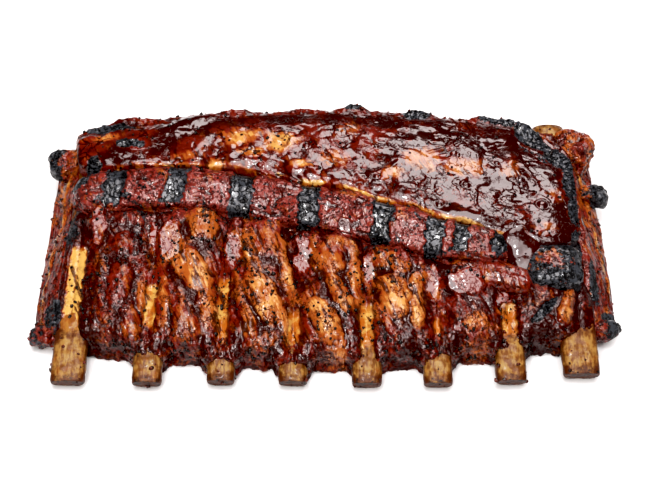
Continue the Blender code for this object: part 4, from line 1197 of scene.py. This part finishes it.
def makeSpecks(name, dark, light, rough):
    material, tree, shader = newMaterial(name)
    coords = add(tree, "ShaderNodeTexCoord").outputs["Object"]
    tone = spots(tree, coords, 1.4, detail=3.0)
    tree.links.new(blend(tree, dark, light, within(tree, tone, 0.4, 0.65)), shader.inputs["Base Color"])
    shader.inputs["Roughness"].default_value = rough
    shader.inputs["Specular IOR Level"].default_value = 0.1
    shader.inputs["Coat Weight"].default_value = 0.35
    shader.inputs["Coat Roughness"].default_value = 0.08
    return material


pepperMaterial = makeSpecks("pepper", (0.004, 0.003, 0.003), (0.02, 0.012, 0.010), 0.35)
crumbMaterial = makeSpecks("crust", (0.014, 0.004, 0.002), (0.10, 0.016, 0.006), 0.4)


def makeScatters():
    tree = scatterTree("scatter")
    shown = [bpy.data.objects[n] for n in ("ribFace", "grilledRoll", "glazedLoin", "meatBase")]
    pepper = [chip("pepper" + str(k), 1.0, 0.9, 411 + k) for k in range(6)]
    scatter("pepperBits", groundFrom(shown, pepperGrowth), pepper, pepperMaterial, tree, Density=330000.0,
            Gap=0.9 * mm, Sink=0.15 * mm, Smallest=0.35, Largest=2.1, Seed=3)
    crumbs = [chip("crumb" + str(k), 1.6, 0.8, 421 + k, 0.8) for k in range(5)]
    shown = [bpy.data.objects[n] for n in ("ribFace", "glazedLoin", "meatBase")]
    shown += [bpy.data.objects["bone" + str(k + 1)] for k in range(len(boneNames))]
    scatter("crustCrumbs", groundFrom(shown, crumbGrowth), crumbs, crumbMaterial, tree, Density=120000.0,
            Gap=1.7 * mm, Sink=0.1 * mm, Smallest=0.5, Largest=1.5, Seed=5)


makeScatters()


# ---- floor, lights and camera ----
def makeFloor():
    mesh = bpy.data.meshes.new("floor")
    mesh.from_pydata([(-3, -3, 0), (3, -3, 0), (3, 3, 0), (-3, 3, 0)], [], [(0, 1, 2, 3)])
    floor = bpy.data.objects.new("floor", mesh)
    bpy.context.scene.collection.objects.link(floor)
    material, tree, shader = newMaterial("paleFloor")
    coords = add(tree, "ShaderNodeTexCoord").outputs["Object"]
    tone = spots(tree, coords, 60.0, detail=2.0)
    shade = blend(tree, (0.88, 0.88, 0.88), (0.93, 0.93, 0.93), tone)
    tree.links.new(shade, shader.inputs["Base Color"])
    shader.inputs["Roughness"].default_value = 0.6
    mesh.materials.append(material)


def aim(thing, target):
    direction = Vector(target) - thing.location
    thing.rotation_mode = "QUATERNION"
    thing.rotation_quaternion = direction.to_track_quat("-Z", "Y")


def areaLight(name, angle, turn, distance, width, depth, power, colour=(1, 1, 1)):
    # angle: from the vertical; turn: 0 stands behind the rack, 180 in front
    lamp = bpy.data.lights.new(name, "AREA")
    lamp.shape = "RECTANGLE"
    lamp.size, lamp.size_y = width, depth
    lamp.energy, lamp.color = power, colour
    thing = bpy.data.objects.new(name, lamp)
    a, t = math.radians(angle), math.radians(turn)
    thing.location = Vector((math.sin(a) * math.sin(t), math.sin(a) * math.cos(t), math.cos(a))) * distance
    bpy.context.scene.collection.objects.link(thing)
    aim(thing, (0, 0, 0.02))
    return thing


makeFloor()
areaLight("softboxBehind", 38, 16, 1.2, 0.58, 0.62, 8.6, (1.0, 0.93, 0.92))
areaLight("softboxAbove", 16, 180, 1.2, 1.0, 0.92, 20.0, (1.0, 0.95, 0.95))
card = areaLight("cardFront", 45, 180, 1.2, 1.2, 0.5, 6.0, (1.0, 0.94, 0.94))
card.visible_diffuse = False
areaLight("keyAbove", 14, 200, 1.2, 0.10, 0.10, 3.0)
areaLight("keyFront", 46, 200, 1.3, 0.10, 0.10, 4.0, (1.0, 0.96, 0.9))

world = bpy.data.worlds.new("paleRoom")
bpy.context.scene.world = world
world.use_nodes = True
world.node_tree.nodes["Background"].inputs["Color"].default_value = (0.92, 0.96, 1.0, 1)
world.node_tree.nodes["Background"].inputs["Strength"].default_value = 0.06

camera = bpy.data.objects.new("camera", bpy.data.cameras.new("camera"))
bpy.context.scene.collection.objects.link(camera)
camera.data.sensor_width = 36
camera.data.lens = 90.8
camera.data.clip_end = 10
elevation = math.radians(50)
camera.location = Vector((0, -math.cos(elevation), math.sin(elevation))) * 0.7 + Vector((0, 0, 0.017))
aim(camera, (0, 0, 0.017))
bpy.context.scene.camera = camera
settings = bpy.context.scene.view_settings
settings.view_transform = "Standard"
settings.use_curve_mapping = True
settings.curve_mapping.black_level = (0.012, 0.012, 0.012)
settings.curve_mapping.curves[3].points.new(0.06, 0.045)
settings.curve_mapping.curves[3].points.new(0.5, 0.55)
settings.curve_mapping.update()
